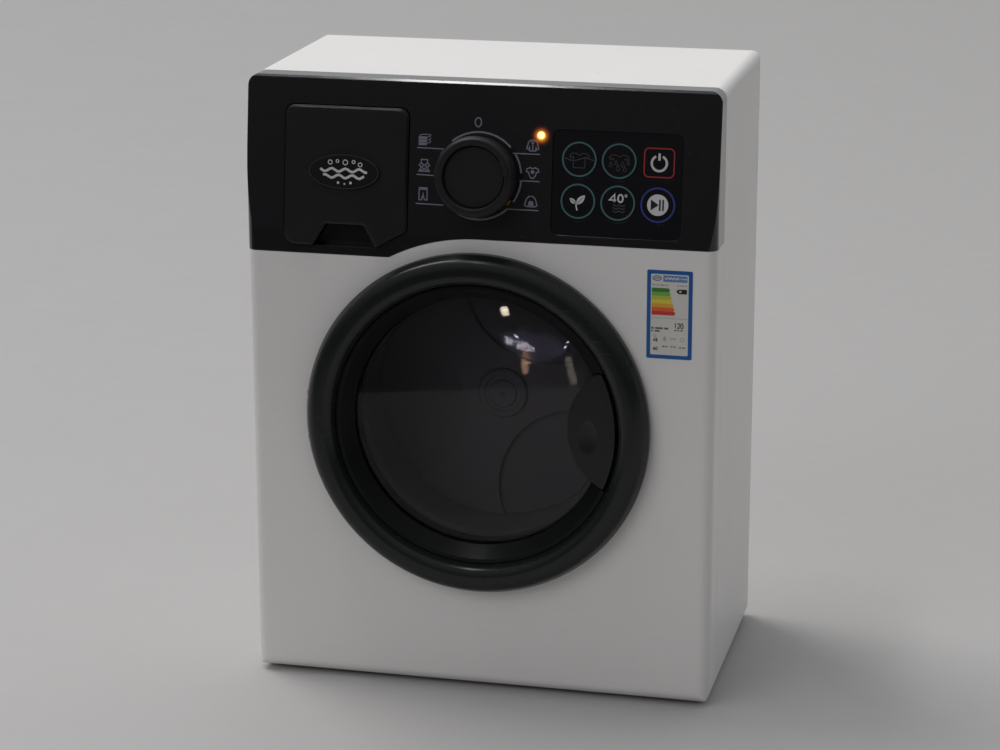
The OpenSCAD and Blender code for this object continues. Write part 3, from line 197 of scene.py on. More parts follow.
def window_ray(px, py):
    """Where a ray through a point of the camera's frame meets the door's window, and its mirrored
    way."""
    turn = bpy.context.scene.camera.matrix_world.to_3x3()
    ray = turn @ Vector(((px - FRAME_WIDE / 2) / FOCAL_PX, (FRAME_HIGH / 2 - py) / FOCAL_PX, -1))
    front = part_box("door_window")[0][1]
    hit = CAMERA_AT + ray * ((front - CAMERA_AT.y) / ray.y)
    return hit, Vector((ray.x, -ray.y, ray.z)).normalized()


def make_cards():
    """The bright things, each a small lit sheet that only mirrors see."""
    for name, outline, color, strength in CARDS:
        corners = []
        for px, py in outline:
            hit, way = window_ray(px, py)
            corners.append(hit + way * (CARD_AWAY / abs(way.y)))
        mesh = bpy.data.meshes.new(name)
        mesh.from_pydata(corners, [], [list(range(len(corners)))])
        card = bpy.data.objects.new(name, mesh)
        bpy.context.scene.collection.objects.link(card)
        material = bpy.data.materials.new(name)
        material.use_nodes = True
        shader = material.node_tree.nodes["Principled BSDF"]
        shader.inputs["Base Color"].default_value = (0, 0, 0, 1)
        shader.inputs["Emission Color"].default_value = rgba(color)
        shader.inputs["Emission Strength"].default_value = strength
        mesh.materials.append(material)
        card.visible_camera = False
        card.visible_diffuse = False


def make_studio():
    """Soft light from overhead, behind the left side, with the room's bright things in front."""
    make_dome()
    make_sun()
    area_light("front_fill", *FRONT_FILL).visible_glossy = False
    area_light("ceiling_strip", *CEILING_STRIP)
    make_cards()


def make_floor():
    """One wide pale table top with its near edge askew, and the same sheet carried on in front of
    it, which the object neither mirrors nor is lit by."""
    left = TABLE_EDGE + TABLE_SLOPE * TABLE_BEND
    right = TABLE_EDGE + TABLE_SLOPE * TABLE_REACH
    edge = [(-TABLE_REACH, left, 0), (TABLE_BEND, left, 0), (TABLE_REACH, right, 0)]
    sheet = floor_sheet()
    for name, reach in (("floor", TABLE_REACH), ("floor_front", -2 * TABLE_REACH)):
        mesh = bpy.data.meshes.new(name)
        corners = edge + [(TABLE_REACH, reach, 0), (-TABLE_REACH, reach, 0)]
        mesh.from_pydata(corners if reach > 0 else corners[::-1], [], [tuple(range(len(corners)))])
        floor = bpy.data.objects.new(name, mesh)
        bpy.context.scene.collection.objects.link(floor)
        mesh.materials.append(sheet)
        if reach < 0:
            floor.visible_glossy = False
            floor.visible_diffuse = False


# ---------------------------------------------------------------- shader groups

def new_group(name, inputs, outputs):
    """An empty shader group with named sockets."""
    group = bpy.data.node_groups.new(name, "ShaderNodeTree")
    for label, kind, value in inputs:
        socket = group.interface.new_socket(label, in_out="INPUT", socket_type=kind)
        socket.default_value = value
    for label, kind in outputs:
        group.interface.new_socket(label, in_out="OUTPUT", socket_type=kind)
    source = group.nodes.new("NodeGroupInput")
    sink = group.nodes.new("NodeGroupOutput")
    return group, source, sink


def math_node(tree, operation, a, b=0.0, clamp=False):
    """A Math node with values or sockets as its inputs."""
    node = tree.nodes.new("ShaderNodeMath")
    node.operation = operation
    node.use_clamp = clamp
    for socket, value in zip(node.inputs, (a, b)):
        if isinstance(value, (int, float)):
            socket.default_value = value
        else:
            tree.links.new(value, socket)
    return node.outputs[0]


def mix_color(tree, factor, a, b):
    """A colour mixed from a to b by a mask."""
    node = tree.nodes.new("ShaderNodeMix")
    node.data_type = "RGBA"
    tree.links.new(factor, node.inputs["Factor"])
    for socket, value in ((node.inputs[6], a), (node.inputs[7], b)):
        if isinstance(value, tuple):
            socket.default_value = value
        else:
            tree.links.new(value, socket)
    return node.outputs[2]


def noise(tree, vector, scale, detail=3.0, rough=0.55):
    """A noise texture's factor at a scale given per metre."""
    node = tree.nodes.new("ShaderNodeTexNoise")
    node.inputs["Detail"].default_value = detail
    node.inputs["Roughness"].default_value = rough
    tree.links.new(vector, node.inputs["Vector"])
    if isinstance(scale, (int, float)):
        node.inputs["Scale"].default_value = scale
    else:
        tree.links.new(scale, node.inputs["Scale"])
    return node.outputs["Fac"]


def stretch(tree, value, low, high, out_low, out_high):
    """The value stretched from one range to another and held inside it."""
    node = tree.nodes.new("ShaderNodeMapRange")
    for label, number in (("From Min", low), ("From Max", high), ("To Min", out_low),
                          ("To Max", out_high)):
        node.inputs[label].default_value = number
    tree.links.new(value, node.inputs["Value"])
    return node.outputs["Result"]


def ramp(tree, value, low, high):
    """The value stretched so that low gives 0 and high gives 1."""
    return stretch(tree, value, low, high, 0.0, 1.0)


# Noise scales are per metre. A range is the part of a noise that is stretched to go from 0 to 1.
DRIFT_SCALE, DRIFT_RANGE = 14.0, (0.35, 0.7)
SMEAR_SCALE, SMEAR_RANGE = 60.0, (0.3, 0.75)
SPECK_SCALE, SPECK_RANGE, SPECK_CHOSEN = 420.0, (0.14, 0.04), (0.55, 0.9)
SPECK_PATCH, SPECK_PATCH_RANGE = 35.0, (0.52, 0.75)
# Each set of hairlines: its turn, and its scales along the three axes.
HAIRLINES = ((0.35, (80, 1300, 1300)), (-0.9, (110, 110, 1500)))
HAIRLINE_RANGE = (0.69, 0.74)
HAIRLINE_PATCH, HAIRLINE_PATCH_RANGE = 22.0, (0.45, 0.7)


def moulded_group():
    """Moulded plastic: slow tone drift, fine spark-eroded grain and uneven gloss."""
    group, source, sink = new_group("moulded_finish", [
        ("Color", "NodeSocketColor", (0.8, 0.8, 0.8, 1)),
        ("Shade", "NodeSocketColor", (0.7, 0.7, 0.7, 1)),
        ("Drift", "NodeSocketFloat", 0.5), ("Grain Scale", "NodeSocketFloat", 1800.0),
        ("Roughness", "NodeSocketFloat", 0.4), ("Roughness Spread", "NodeSocketFloat", 0.1)],
        [("Color", "NodeSocketColor"), ("Roughness", "NodeSocketFloat"),
         ("Height", "NodeSocketFloat")])
    place = group.nodes.new("ShaderNodeTexCoord").outputs["Object"]
    slow = ramp(group, noise(group, place, DRIFT_SCALE, 4.0), *DRIFT_RANGE)
    tone = math_node(group, "MULTIPLY", slow, source.outputs["Drift"], clamp=True)
    fine = noise(group, place, source.outputs["Grain Scale"], 2.0)
    smear = ramp(group, noise(group, place, SMEAR_SCALE, 5.0, 0.65), *SMEAR_RANGE)
    spread = math_node(group, "MULTIPLY", smear, source.outputs["Roughness Spread"])
    group.links.new(mix_color(group, tone, source.outputs["Color"], source.outputs["Shade"]),
                    sink.inputs["Color"])
    group.links.new(math_node(group, "ADD", source.outputs["Roughness"], spread, clamp=True),
                    sink.inputs["Roughness"])
    group.links.new(fine, sink.inputs["Height"])
    return group


def dust_group():
    """Sparse specks of dust and lint, in patches."""
    group, source, sink = new_group("dust_specks", [
        ("Scale", "NodeSocketFloat", SPECK_SCALE), ("Amount", "NodeSocketFloat", 0.5)],
        [("Mask", "NodeSocketFloat")])
    place = group.nodes.new("ShaderNodeTexCoord").outputs["Object"]
    cells = group.nodes.new("ShaderNodeTexVoronoi")
    group.links.new(place, cells.inputs["Vector"])
    group.links.new(source.outputs["Scale"], cells.inputs["Scale"])
    near = ramp(group, cells.outputs["Distance"], *SPECK_RANGE)
    where = ramp(group, noise(group, place, SPECK_PATCH, 3.0), *SPECK_PATCH_RANGE)
    chosen = ramp(group, cells.outputs["Color"], *SPECK_CHOSEN)
    both = math_node(group, "MULTIPLY", math_node(group, "MULTIPLY", near, where), chosen)
    group.links.new(math_node(group, "MULTIPLY", both, source.outputs["Amount"], clamp=True),
                    sink.inputs["Mask"])
    return group


def scuff_group():
    """Hairline scratches: long thin noise in two directions."""
    group, source, sink = new_group("hairline_scuffs", [
        ("Amount", "NodeSocketFloat", 0.5)], [("Mask", "NodeSocketFloat")])
    place = group.nodes.new("ShaderNodeTexCoord").outputs["Object"]
    total = None
    for turn, scales in HAIRLINES:
        spin = group.nodes.new("ShaderNodeMapping")
        spin.inputs["Rotation"].default_value = (0, turn, 0)
        spin.inputs["Scale"].default_value = scales
        group.links.new(place, spin.inputs["Vector"])
        line = ramp(group, noise(group, spin.outputs["Vector"], 1.0, 1.0), *HAIRLINE_RANGE)
        total = line if total is None else math_node(group, "MAXIMUM", total, line)
    patch = noise(group, place, HAIRLINE_PATCH, 2.0)
    patch = ramp(group, patch, *HAIRLINE_PATCH_RANGE)
    mask = math_node(group, "MULTIPLY", total, patch)
    group.links.new(math_node(group, "MULTIPLY", mask, source.outputs["Amount"], clamp=True),
                    sink.inputs["Mask"])
    return group


MOULDED = moulded_group()
DUST = dust_group()
SCUFFS = scuff_group()


def use_group(tree, group, **values):
    """A group placed in a material with its own values."""
    node = tree.nodes.new("ShaderNodeGroup")
    node.node_tree = group
    for label, value in values.items():
        node.inputs[label.replace("_", " ").title()].default_value = value
    return node


def rgba(color):
    """The colour with full opacity."""
    return (color[0], color[1], color[2], 1.0)


# The grain's depth in metres, the samples that round an edge, the clear coat's roughness, what
# dust and scuffs add to the roughness, and how far scuffs pale the colour.
GRAIN_DEEP, EDGE_SAMPLES = 0.0002, 4
COAT_ROUGH = 0.06
DUST_ROUGH, SCUFF_ROUGH, SCUFF_TINT = 0.4, 0.3, 0.25


def weathered(tree, tint, rough, dust, dust_color, scuffs):
    """The colour and roughness with dust specks and hairline scuffs laid over them."""
    if dust:
        specks = use_group(tree, DUST, amount=dust)
        tint = mix_color(tree, specks.outputs["Mask"], tint, rgba(dust_color))
        dull = math_node(tree, "MULTIPLY", specks.outputs["Mask"], DUST_ROUGH)
        rough = math_node(tree, "ADD", rough, dull, clamp=True)
    if scuffs:
        lines = use_group(tree, SCUFFS, amount=scuffs)
        dull = math_node(tree, "MULTIPLY", lines.outputs["Mask"], SCUFF_ROUGH)
        rough = math_node(tree, "ADD", rough, dull, clamp=True)
        pale = math_node(tree, "MULTIPLY", lines.outputs["Mask"], SCUFF_TINT)
        tint = mix_color(tree, pale, tint, rgba(dust_color))
    return tint, rough


def relief(tree, height, bump, soft_edge):
    """The shading's normal: grain, over edges rounded by soft_edge millimetres."""
    grain = tree.nodes.new("ShaderNodeBump")
    grain.inputs["Strength"].default_value = bump
    grain.inputs["Distance"].default_value = GRAIN_DEEP
    tree.links.new(height, grain.inputs["Height"])
    if soft_edge:
        edge = tree.nodes.new("ShaderNodeBevel")
        edge.samples = EDGE_SAMPLES
        edge.inputs["Radius"].default_value = soft_edge * MM
        tree.links.new(edge.outputs["Normal"], grain.inputs["Normal"])
    return grain.outputs["Normal"]


def plastic(name, color, shade, roughness, spread=0.08, grain=1800.0, bump=0.05, drift=0.5,
            dust=0.0, dust_color=(0.5, 0.5, 0.5), scuffs=0.0, metallic=0.0, coat=0.0, specular=0.5,
            soft_edge=0.0):
    """A moulded, printed or metal finish. color drifts to shade by drift. roughness grows by up to
    spread. grain is its scale per metre, bump its strength. dust, scuffs, coat and specular are
    amounts."""
    material = bpy.data.materials.new(name)
    material.use_nodes = True
    tree = material.node_tree
    shader = tree.nodes["Principled BSDF"]
    finish = use_group(tree, MOULDED, color=rgba(color), shade=rgba(shade), drift=drift,
                       grain_scale=grain, roughness=roughness, roughness_spread=spread)
    tint, rough = weathered(tree, finish.outputs["Color"], finish.outputs["Roughness"],
                            dust, dust_color, scuffs)
    tree.links.new(tint, shader.inputs["Base Color"])
    tree.links.new(rough, shader.inputs["Roughness"])
    tree.links.new(relief(tree, finish.outputs["Height"], bump, soft_edge), shader.inputs["Normal"])
    shader.inputs["Metallic"].default_value = metallic
    shader.inputs["Coat Weight"].default_value = coat
    shader.inputs["Coat Roughness"].default_value = COAT_ROUGH
    shader.inputs["Specular IOR Level"].default_value = specular
    return material


def add_glow(material, middle, rim, strength):
    """Light given off by the lens, palest in the middle of what faces the viewer."""
    tree = material.node_tree
    shader = tree.nodes["Principled BSDF"]
    facing = tree.nodes.new("ShaderNodeLayerWeight")
    facing.inputs["Blend"].default_value = 0.5
    core = mix_color(tree, facing.outputs["Facing"], rgba(middle), rgba(rim))
    tree.links.new(core, shader.inputs["Emission Color"])
    shader.inputs["Emission Strength"].default_value = strength


# The window's smoke, its roughness and its index.
SMOKE, SMOKE_ROUGH, SMOKE_IOR = (0.42, 0.41, 0.43), 0.006, 1.27


def glass(name, color, roughness, ior):
    """Smoked clear plastic with a faint haze of dust and hairlines, which lets lamp light through.
    Its index is below a real window's, to keep the mirrored room faint."""
    material = plastic(name, color, tuple(c * 0.9 for c in color), roughness, spread=0.03, bump=0.0,
                       drift=0.3, dust=0.1, dust_color=(0.5, 0.5, 0.5), scuffs=0.25)
    tree = material.node_tree
    shader = tree.nodes["Principled BSDF"]
    shader.inputs["Transmission Weight"].default_value = 1.0
    shader.inputs["IOR"].default_value = ior
    path = tree.nodes.new("ShaderNodeLightPath")
    lit = math_node(tree, "MULTIPLY", path.outputs["Is Shadow Ray"], math.sqrt(color[1]))
    tree.links.new(math_node(tree, "SUBTRACT", 1.0, lit), shader.inputs["Alpha"])
    return material


# The table's own tones, the painted shade it darkens to at the right in place of the light's fall-off,
# how much further back counts as further right, and where that painted shade begins and ends in metres.
TABLE_TONE, TABLE_SHADE = (0.465, 0.457, 0.457), (0.447, 0.439, 0.438)
PAINTED_SHADE_RIGHT = (0.42, 0.412, 0.405)
PAINTED_SHADE_SKEW, PAINTED_SHADE_SPAN = 0.1, (-0.8, 0.6)


def floor_sheet():
    """The table's pale sheet, with painted shade that makes it a little greyer towards the right."""
    material = plastic("floor_sheet", TABLE_TONE, TABLE_SHADE, roughness=0.6, spread=0.15,
                       grain=900, bump=0.03, drift=0.6)
    tree = material.node_tree
    shader = tree.nodes["Principled BSDF"]
    tone = shader.inputs["Base Color"].links[0].from_socket
    split = tree.nodes.new("ShaderNodeSeparateXYZ")
    tree.links.new(tree.nodes.new("ShaderNodeTexCoord").outputs["Object"], split.inputs["Vector"])
    # Painted shade: the sheet's colour is mixed to a greyer tone towards the right, standing in for the light's
    # fall-off.
    skew = math_node(tree, "MULTIPLY", split.outputs["Y"], PAINTED_SHADE_SKEW)
    across = stretch(tree, math_node(tree, "ADD", split.outputs["X"], skew), *PAINTED_SHADE_SPAN, 0.0, 1.0)
    tree.links.new(mix_color(tree, across, tone, rgba(PAINTED_SHADE_RIGHT)), shader.inputs["Base Color"])
    return material


# The lamp's light spilt round it: its colours far from the lamp and next to it, and its strength.
SPILT_FAR, SPILT_NEAR, SPILT_POWER = (0.9, 0.16, 0.01), (1.0, 0.42, 0.05), 0.9
SPILT_BASE = (0.01, 0.008, 0.008)


def glow_film():
    """The lamp's light spilt on the panel round it, fading outwards."""
    material = bpy.data.materials.new("lamp_glow")
    material.use_nodes = True
    tree = material.node_tree
    shader = tree.nodes["Principled BSDF"]
    away = tree.nodes.new("ShaderNodeVectorMath")
    away.operation = "DISTANCE"
    tree.links.new(tree.nodes.new("ShaderNodeTexCoord").outputs["Object"], away.inputs[0])
    away.inputs[1].default_value = lamp_place(0, 0)
    near = stretch(tree, away.outputs["Value"], GLOW_R * MM, LAMP_R * MM, 0.0, 1.0)
    fade = math_node(tree, "POWER", near, GLOW_FADE)
    tree.links.new(mix_color(tree, fade, rgba(SPILT_FAR), rgba(SPILT_NEAR)),
                   shader.inputs["Emission Color"])
    tree.links.new(fade, shader.inputs["Alpha"])
    shader.inputs["Base Color"].default_value = rgba(SPILT_BASE)
    shader.inputs["Emission Strength"].default_value = SPILT_POWER
    return material


# The finish of each of the record's material slots, apart from the smoked window's.
FINISHES = {
    "white_shell": dict(color=(0.80, 0.785, 0.77), shade=(0.74, 0.73, 0.72), roughness=0.36,
        spread=0.1, grain=1500, bump=0.06, drift=0.4, dust=0.35, dust_color=(0.32, 0.29, 0.25),
        scuffs=0.35),
    "panel_black": dict(color=(0.0105, 0.010, 0.0115), shade=(0.014, 0.013, 0.0145),
        roughness=0.12, spread=0.07, grain=900, bump=0.02, drift=0.5, dust=0.35,
        dust_color=(0.25, 0.25, 0.27), scuffs=0.12, coat=0.3, soft_edge=0.4),
    "overlay_black": dict(color=(0.006, 0.006, 0.0075), shade=(0.008, 0.008, 0.010),
        roughness=0.10, spread=0.06, grain=700, bump=0.02, drift=0.5, dust=0.25,
        dust_color=(0.2, 0.2, 0.22), scuffs=0.1, soft_edge=0.2),
    "key_film": dict(color=(0.006, 0.006, 0.0075), shade=(0.008, 0.008, 0.010), roughness=0.10,
        spread=0.06, grain=700, bump=0.02, drift=0.5, dust=0.25, dust_color=(0.2, 0.2, 0.22),
        scuffs=0.1),
    "white_inner": dict(color=(0.6, 0.6, 0.59), shade=(0.5, 0.5, 0.49), roughness=0.5, spread=0.1,
        grain=1200, bump=0.06, drift=0.5),
    "seal_grey": dict(color=(0.03, 0.03, 0.032), shade=(0.045, 0.045, 0.046), roughness=0.6,
        spread=0.15, grain=2200, bump=0.1, drift=0.6),
    "steel": dict(color=(0.6, 0.6, 0.6), shade=(0.42, 0.42, 0.42), roughness=0.28, spread=0.2,
        grain=2600, bump=0.05, drift=0.7, metallic=1.0),
    "brass": dict(color=(0.72, 0.5, 0.22), shade=(0.5, 0.34, 0.15), roughness=0.3, spread=0.2,
        grain=2600, bump=0.05, drift=0.7, metallic=1.0),
    "board_green": dict(color=(0.02, 0.12, 0.045), shade=(0.03, 0.16, 0.06), roughness=0.4,
        spread=0.15, grain=1600, bump=0.06, drift=0.6),
    "part_black": dict(color=(0.02, 0.02, 0.021), shade=(0.035, 0.035, 0.036), roughness=0.5,
        spread=0.12, grain=1800, bump=0.06, drift=0.5),
    "led_orange": dict(color=(0.95, 0.42, 0.06), shade=(0.9, 0.35, 0.04), roughness=0.2,
        spread=0.05, grain=900, bump=0.02, drift=0.4),
    "cell_blue": dict(color=(0.03, 0.09, 0.32), shade=(0.05, 0.12, 0.36), roughness=0.3,
        spread=0.1, grain=1500, bump=0.03, drift=0.5),
    "foot_grey": dict(color=(0.12, 0.12, 0.12), shade=(0.16, 0.16, 0.16), roughness=0.75,
        spread=0.1, grain=2200, bump=0.1, drift=0.6),
    "sticker": dict(color=(0.012, 0.10, 0.34), shade=(0.02, 0.13, 0.38), roughness=0.26,
        spread=0.1, grain=800, bump=0.02, drift=0.5, dust=0.3, scuffs=0.4),
    "door_charcoal": dict(color=(0.0105, 0.0118, 0.012), shade=(0.0145, 0.016, 0.0162),
        roughness=0.20, spread=0.08, grain=1700, bump=0.05, drift=0.5, dust=0.35,
        dust_color=(0.25, 0.25, 0.25), scuffs=0.3, specular=0.32, soft_edge=0.3),
    "funnel_charcoal": dict(color=(0.0065, 0.0072, 0.0074), shade=(0.0085, 0.0095, 0.0098),
        roughness=0.32, spread=0.10, grain=1700, bump=0.05, drift=0.5, dust=0.25,
        dust_color=(0.2, 0.2, 0.2), specular=0.14, soft_edge=0.3),
    "handle_grey": dict(color=(0.0115, 0.012, 0.0135), shade=(0.016, 0.0168, 0.0185),
        roughness=0.30, spread=0.10, grain=1700, bump=0.06, drift=0.5, dust=0.3,
        dust_color=(0.25, 0.25, 0.25), scuffs=0.2, specular=0.35, soft_edge=0.3),
    "drum_grey": dict(color=(0.20, 0.19, 0.195), shade=(0.165, 0.157, 0.16), roughness=0.38,
        spread=0.12, grain=1500, bump=0.06, drift=0.5, scuffs=0.2, specular=0.35, soft_edge=0.4),
    "gear_white": dict(color=(0.66, 0.65, 0.6), shade=(0.56, 0.55, 0.5), roughness=0.4,
        spread=0.12, grain=1800, bump=0.05, drift=0.5),
    "knob_black": dict(color=(0.011, 0.011, 0.012), shade=(0.016, 0.016, 0.0165), roughness=0.44,
        spread=0.12, grain=2400, bump=0.12, drift=0.5, dust=0.5, dust_color=(0.3, 0.3, 0.3),
        scuffs=0.2, specular=0.4, soft_edge=0.6),
    "drawer_black": dict(color=(0.010, 0.010, 0.011), shade=(0.014, 0.014, 0.015), roughness=0.3,
        spread=0.12, grain=1800, bump=0.06, drift=0.5, dust=0.4, dust_color=(0.25, 0.25, 0.26),
        scuffs=0.2, soft_edge=0.8),
    "badge_black": dict(color=(0.008, 0.008, 0.009), shade=(0.011, 0.011, 0.012), roughness=0.08,
        spread=0.05, grain=900, bump=0.02, drift=0.4, dust=0.2, scuffs=0.3, coat=0.4),
}
# The lamp's light in its middle and at its rim, and its strength.
LAMP_MIDDLE, LAMP_RIM, LAMP_POWER = (1.0, 0.80, 0.34), (1.0, 0.25, 0.01), 1.9


def make_materials():
    """One finish for each of the record's material slots."""
    made = {slot: plastic(slot, **finish) for slot, finish in FINISHES.items()}
    made["window_smoke"] = glass("window_smoke", SMOKE, SMOKE_ROUGH, SMOKE_IOR)
    add_glow(made["led_orange"], LAMP_MIDDLE, LAMP_RIM, LAMP_POWER)
    return made


# Printing inks, and the satin film with a fine screen texture that they share.
INKS = {
    "ink_grey": (0.21, 0.20, 0.26), "ink_dim": (0.06, 0.058, 0.068),
    "ink_white": (0.62, 0.62, 0.63), "ink_teal": (0.065, 0.145, 0.16),
    "ink_red": (0.33, 0.03, 0.035), "ink_blue": (0.03, 0.045, 0.22),
    "ink_amber": (0.30, 0.13, 0.02), "ink_black": (0.012, 0.012, 0.014),
    "ink_panel": (0.70, 0.69, 0.65), "ink_faint": (0.38, 0.37, 0.36),
    "ink_text": (0.13, 0.12, 0.12), "ink_violet": (0.19, 0.17, 0.30),
    "ink_strip": (0.14, 0.24, 0.52), "ink_green": (0.05, 0.22, 0.04),
    "ink_grass": (0.20, 0.46, 0.08), "ink_lime": (0.55, 0.54, 0.08),
    "ink_yellow": (0.80, 0.66, 0.07), "ink_orange": (0.82, 0.40, 0.05),
    "ink_tomato": (0.80, 0.15, 0.04), "ink_cherry": (0.66, 0.045, 0.035),
    "ink_rim": (0.05, 0.05, 0.055),
}
INK_FILM = dict(roughness=0.4, spread=0.15, grain=3200, bump=0.03, drift=0.8)
INK_SHADE = 0.8


def make_inks():
    """A printed finish for each ink, which drifts to a slightly darker shade of itself."""
    return {name: plastic(name, color, tuple(c * INK_SHADE for c in color), **INK_FILM)
            for name, color in INKS.items()}


# ---------------------------------------------------------------- printed graphics

# The film's thickness in millimetres, the step along an arc, how far a sharp bend may widen a
# line, and the number of steps in a wavy line.
INK_THICK = 0.04
ARC_STEP = math.radians(4)
MITRE_LEAST = 0.5
WAVE_STEPS = 24


class Print:
    """Ink shapes on one surface, in millimetres. at(x, up, lift) gives a point's place."""

    def __init__(self, name, at, inks, body, level=0.0):
        """level is how high over the panel's face or the sticker the film lies."""
        self.name, self.at, self.inks, self.body, self.level = name, at, inks, body, level
        self.shapes, self.used = [], []
        self.origin = (0.0, 0.0)

    def moved(self, point):
        """A point shifted to the current origin."""
        return point[0] + self.origin[0], point[1] + self.origin[1]

    def solid(self, ink, outer, layer=0):
        """A filled outline: a closed list of points."""
        if ink not in self.used:
            self.used.append(ink)
        self.shapes.append((self.used.index(ink), [[self.moved(p)] for p in outer], layer))

    def band(self, ink, points, width, closed=False, layer=0):
        """A line of one width along a path."""
        count = len(points)
        rim = []
        for i, (x, y) in enumerate(points):
            before = points[i - 1] if i or closed else None
            after = points[(i + 1) % count] if i + 1 < count or closed else None
            a = Vector((x - before[0], y - before[1])).normalized() if before else None
            b = Vector((after[0] - x, after[1] - y)).normalized() if after else None
            a, b = a or b, b or a
            run = (a + b).normalized() if (a + b).length > 1e-6 else a
            across = Vector((-run.y, run.x)) * (width / 2 / max(MITRE_LEAST, run.dot(a)))
            rim.append(((x + across.x, y + across.y), (x - across.x, y - across.y)))
        if ink not in self.used:
            self.used.append(ink)
        rim = [(self.moved(a), self.moved(b)) for a, b in rim]
        self.shapes.append((self.used.index(ink), rim + ([rim[0]] if closed else []), layer))

    def arc(self, ink, x, y, radius, start, end, width, layer=0):
        """A line along a circle, its angles in degrees from the right, counter-clockwise."""
        self.band(ink, circle(x, y, radius, start, end), width, abs(end - start) >= 360, layer)

    def disc(self, ink, x, y, radius, layer=0):
        """A filled circle."""
        self.solid(ink, circle(x, y, radius, 0, 360), layer)

    def corner(self, form, point, lift):
        """A new corner of the mesh, lifted off the surface."""
        return form.verts.new(self.at(point[0], point[1], lift))

    def add_solid(self, form, ink, rim, low, high):
        """A filled outline's top and sides."""
        top = [self.corner(form, p[0], high) for p in rim]
        foot = [self.corner(form, p[0], low) for p in rim]
        form.faces.new(top).material_index = ink
        for i in range(len(top)):
            k = (i + 1) % len(top)
            form.faces.new((top[i], foot[i], foot[k], top[k])).material_index = ink

    def add_band(self, form, ink, rim, low, high):
        """A line's top, sides and ends."""
        rows = [[self.corner(form, p, lift) for p in pair for lift in (high, low)] for pair in rim]
        for a, b in zip(rows, rows[1:]):
            for i, k in ((0, 2), (1, 0), (2, 3)):
                form.faces.new((a[i], a[k], b[k], b[i])).material_index = ink
        for end in (rows[0], rows[-1]):
            form.faces.new((end[0], end[2], end[3], end[1])).material_index = ink

    def build(self):
        """The mesh, riding its body."""
        form = bmesh.new()
        for ink, rim, layer in self.shapes:
            low, high = self.level - INK_THICK, self.level + INK_THICK * (1 + layer)
            add = self.add_solid if len(rim[0]) == 1 else self.add_band
            add(form, ink, rim, low, high)
        bmesh.ops.recalc_face_normals(form, faces=form.faces)
        mesh = bpy.data.meshes.new(self.name)
        form.to_mesh(mesh)
        form.free()
        for ink in self.used:
            mesh.materials.append(self.inks[ink])
        piece = bpy.data.objects.new(self.name, mesh)
        bpy.context.scene.collection.objects.link(piece)
        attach(piece, self.body)


def circle(x, y, radius, start, end):
    """Points along a circle from one angle to another, in degrees, closer on a larger circle."""
    finer = max(1.0, min(2.0, radius / 4))
    steps = max(2, round(abs(math.radians(end - start)) / ARC_STEP * finer))
    full = abs(end - start) >= 360
    turns = (math.radians(start + (end - start) * i / steps) for i in range(steps + (not full)))
    return [(x + radius * math.cos(a), y + radius * math.sin(a)) for a in turns]


def oval(x, y, half_x, half_y, steps):
    """Points round an oval."""
    turns = (2 * math.pi * i / steps for i in range(steps))
    return [(x + half_x * math.cos(a), y + half_y * math.sin(a)) for a in turns]


def round_box(x, y, half_x, half_y, radius):
    """The outline of a rectangle with round corners."""
    points = []
    for sx, sy, start in ((1, 1, 0), (-1, 1, 90), (-1, -1, 180), (1, -1, 270)):
        middle = x + sx * (half_x - radius), y + sy * (half_y - radius)
        points += circle(*middle, radius, start, start + 90)
    return points


def wave(x0, x1, y, height, length, shift=0.0):
    """Points along a level wavy line."""
    across = [x0 + (x1 - x0) * i / WAVE_STEPS for i in range(WAVE_STEPS + 1)]
    return [(x, y + height * math.sin(2 * math.pi * (x / length + shift))) for x in across]


# The dial's marks, from the knob's middle: the arcs' radius, line and angles, the amber tick's
# radius, angles and line, each leader line's height and inner end, where they end outside, their
# line and slant, and the zero's place, half sides, steps and line.
DIAL_RADIUS, DIAL_LINE = 17.1, 0.72
DIAL_ARCS = ((43, 130), (6, 32), (-34, -4), (-134, -46), (148, 174), (184, 214))
DIAL_TICK = (15.9, -43, -35, 0.7)
LEADERS_LEFT = ((9.85, -14.3), (-0.7, -18.0), (-12.1, -14.0))
LEADERS_RIGHT = ((9.45, 13.5), (-1.1, 16.5), (-12.4, 11.7))
LEADER_ENDS = (-25.1, 24.3)
LEADER_LINE, LEADER_DROP = 0.42, 0.15
ZERO_AT, ZERO_SIZE, ZERO_STEPS, ZERO_LINE = (-0.7, 20.9), (1.25, 1.75), 32, 0.5
ICON_LINE = 0.42


def towels(p, ink):
    """A folded stack."""
    for row in (-1.45, -0.25, 0.95):
        p.solid(ink, round_box(-0.75, row, 1.75, 0.5, 0.35))
        p.band(ink, [(1.0, row + 0.35), (2.0, row + 0.6), (2.45, row + 1.0), (2.2, row + 1.4)],
               0.32)
    p.band(ink, [(-2.2, 1.5), (-1.5, 2.15), (0.2, 2.3), (2.3, 2.2)], 0.36)


def vest(p, ink):
    """A laced top."""
    p.band(ink, [(-1.3, 2.4), (1.3, 2.4), (1.2, 1.3), (2.1, 0.2), (1.2, -0.6), (2.1, -2.2),
                 (-2.1, -2.2), (-1.2, -0.6), (-2.1, 0.2), (-1.2, 1.3)], ICON_LINE, closed=True)
    for (x0, y0), (x1, y1) in (((-1.2, 0.9), (1.3, -0.5)), ((1.2, 0.9), (-1.3, -0.5)),
                               ((-1.2, -0.6), (1.6, -2.1)), ((1.2, -0.6), (-1.6, -2.1))):
        p.band(ink, [(x0, y0), (x1, y1)], ICON_LINE)


def trousers(p, ink):
    """Trousers with a waistband."""
    p.band(ink, [(-1.6, 1.6), (1.6, 1.6), (1.65, -2.5), (0.55, -2.5), (0.0, 0.3), (-0.55, -2.5),
                 (-1.65, -2.5)], ICON_LINE, closed=True)
    p.solid(ink, round_box(0, 2.05, 1.75, 0.38, 0.1))
    p.solid(ink, [(-0.45, -1.9), (0.45, -1.9), (0.0, 0.4)])


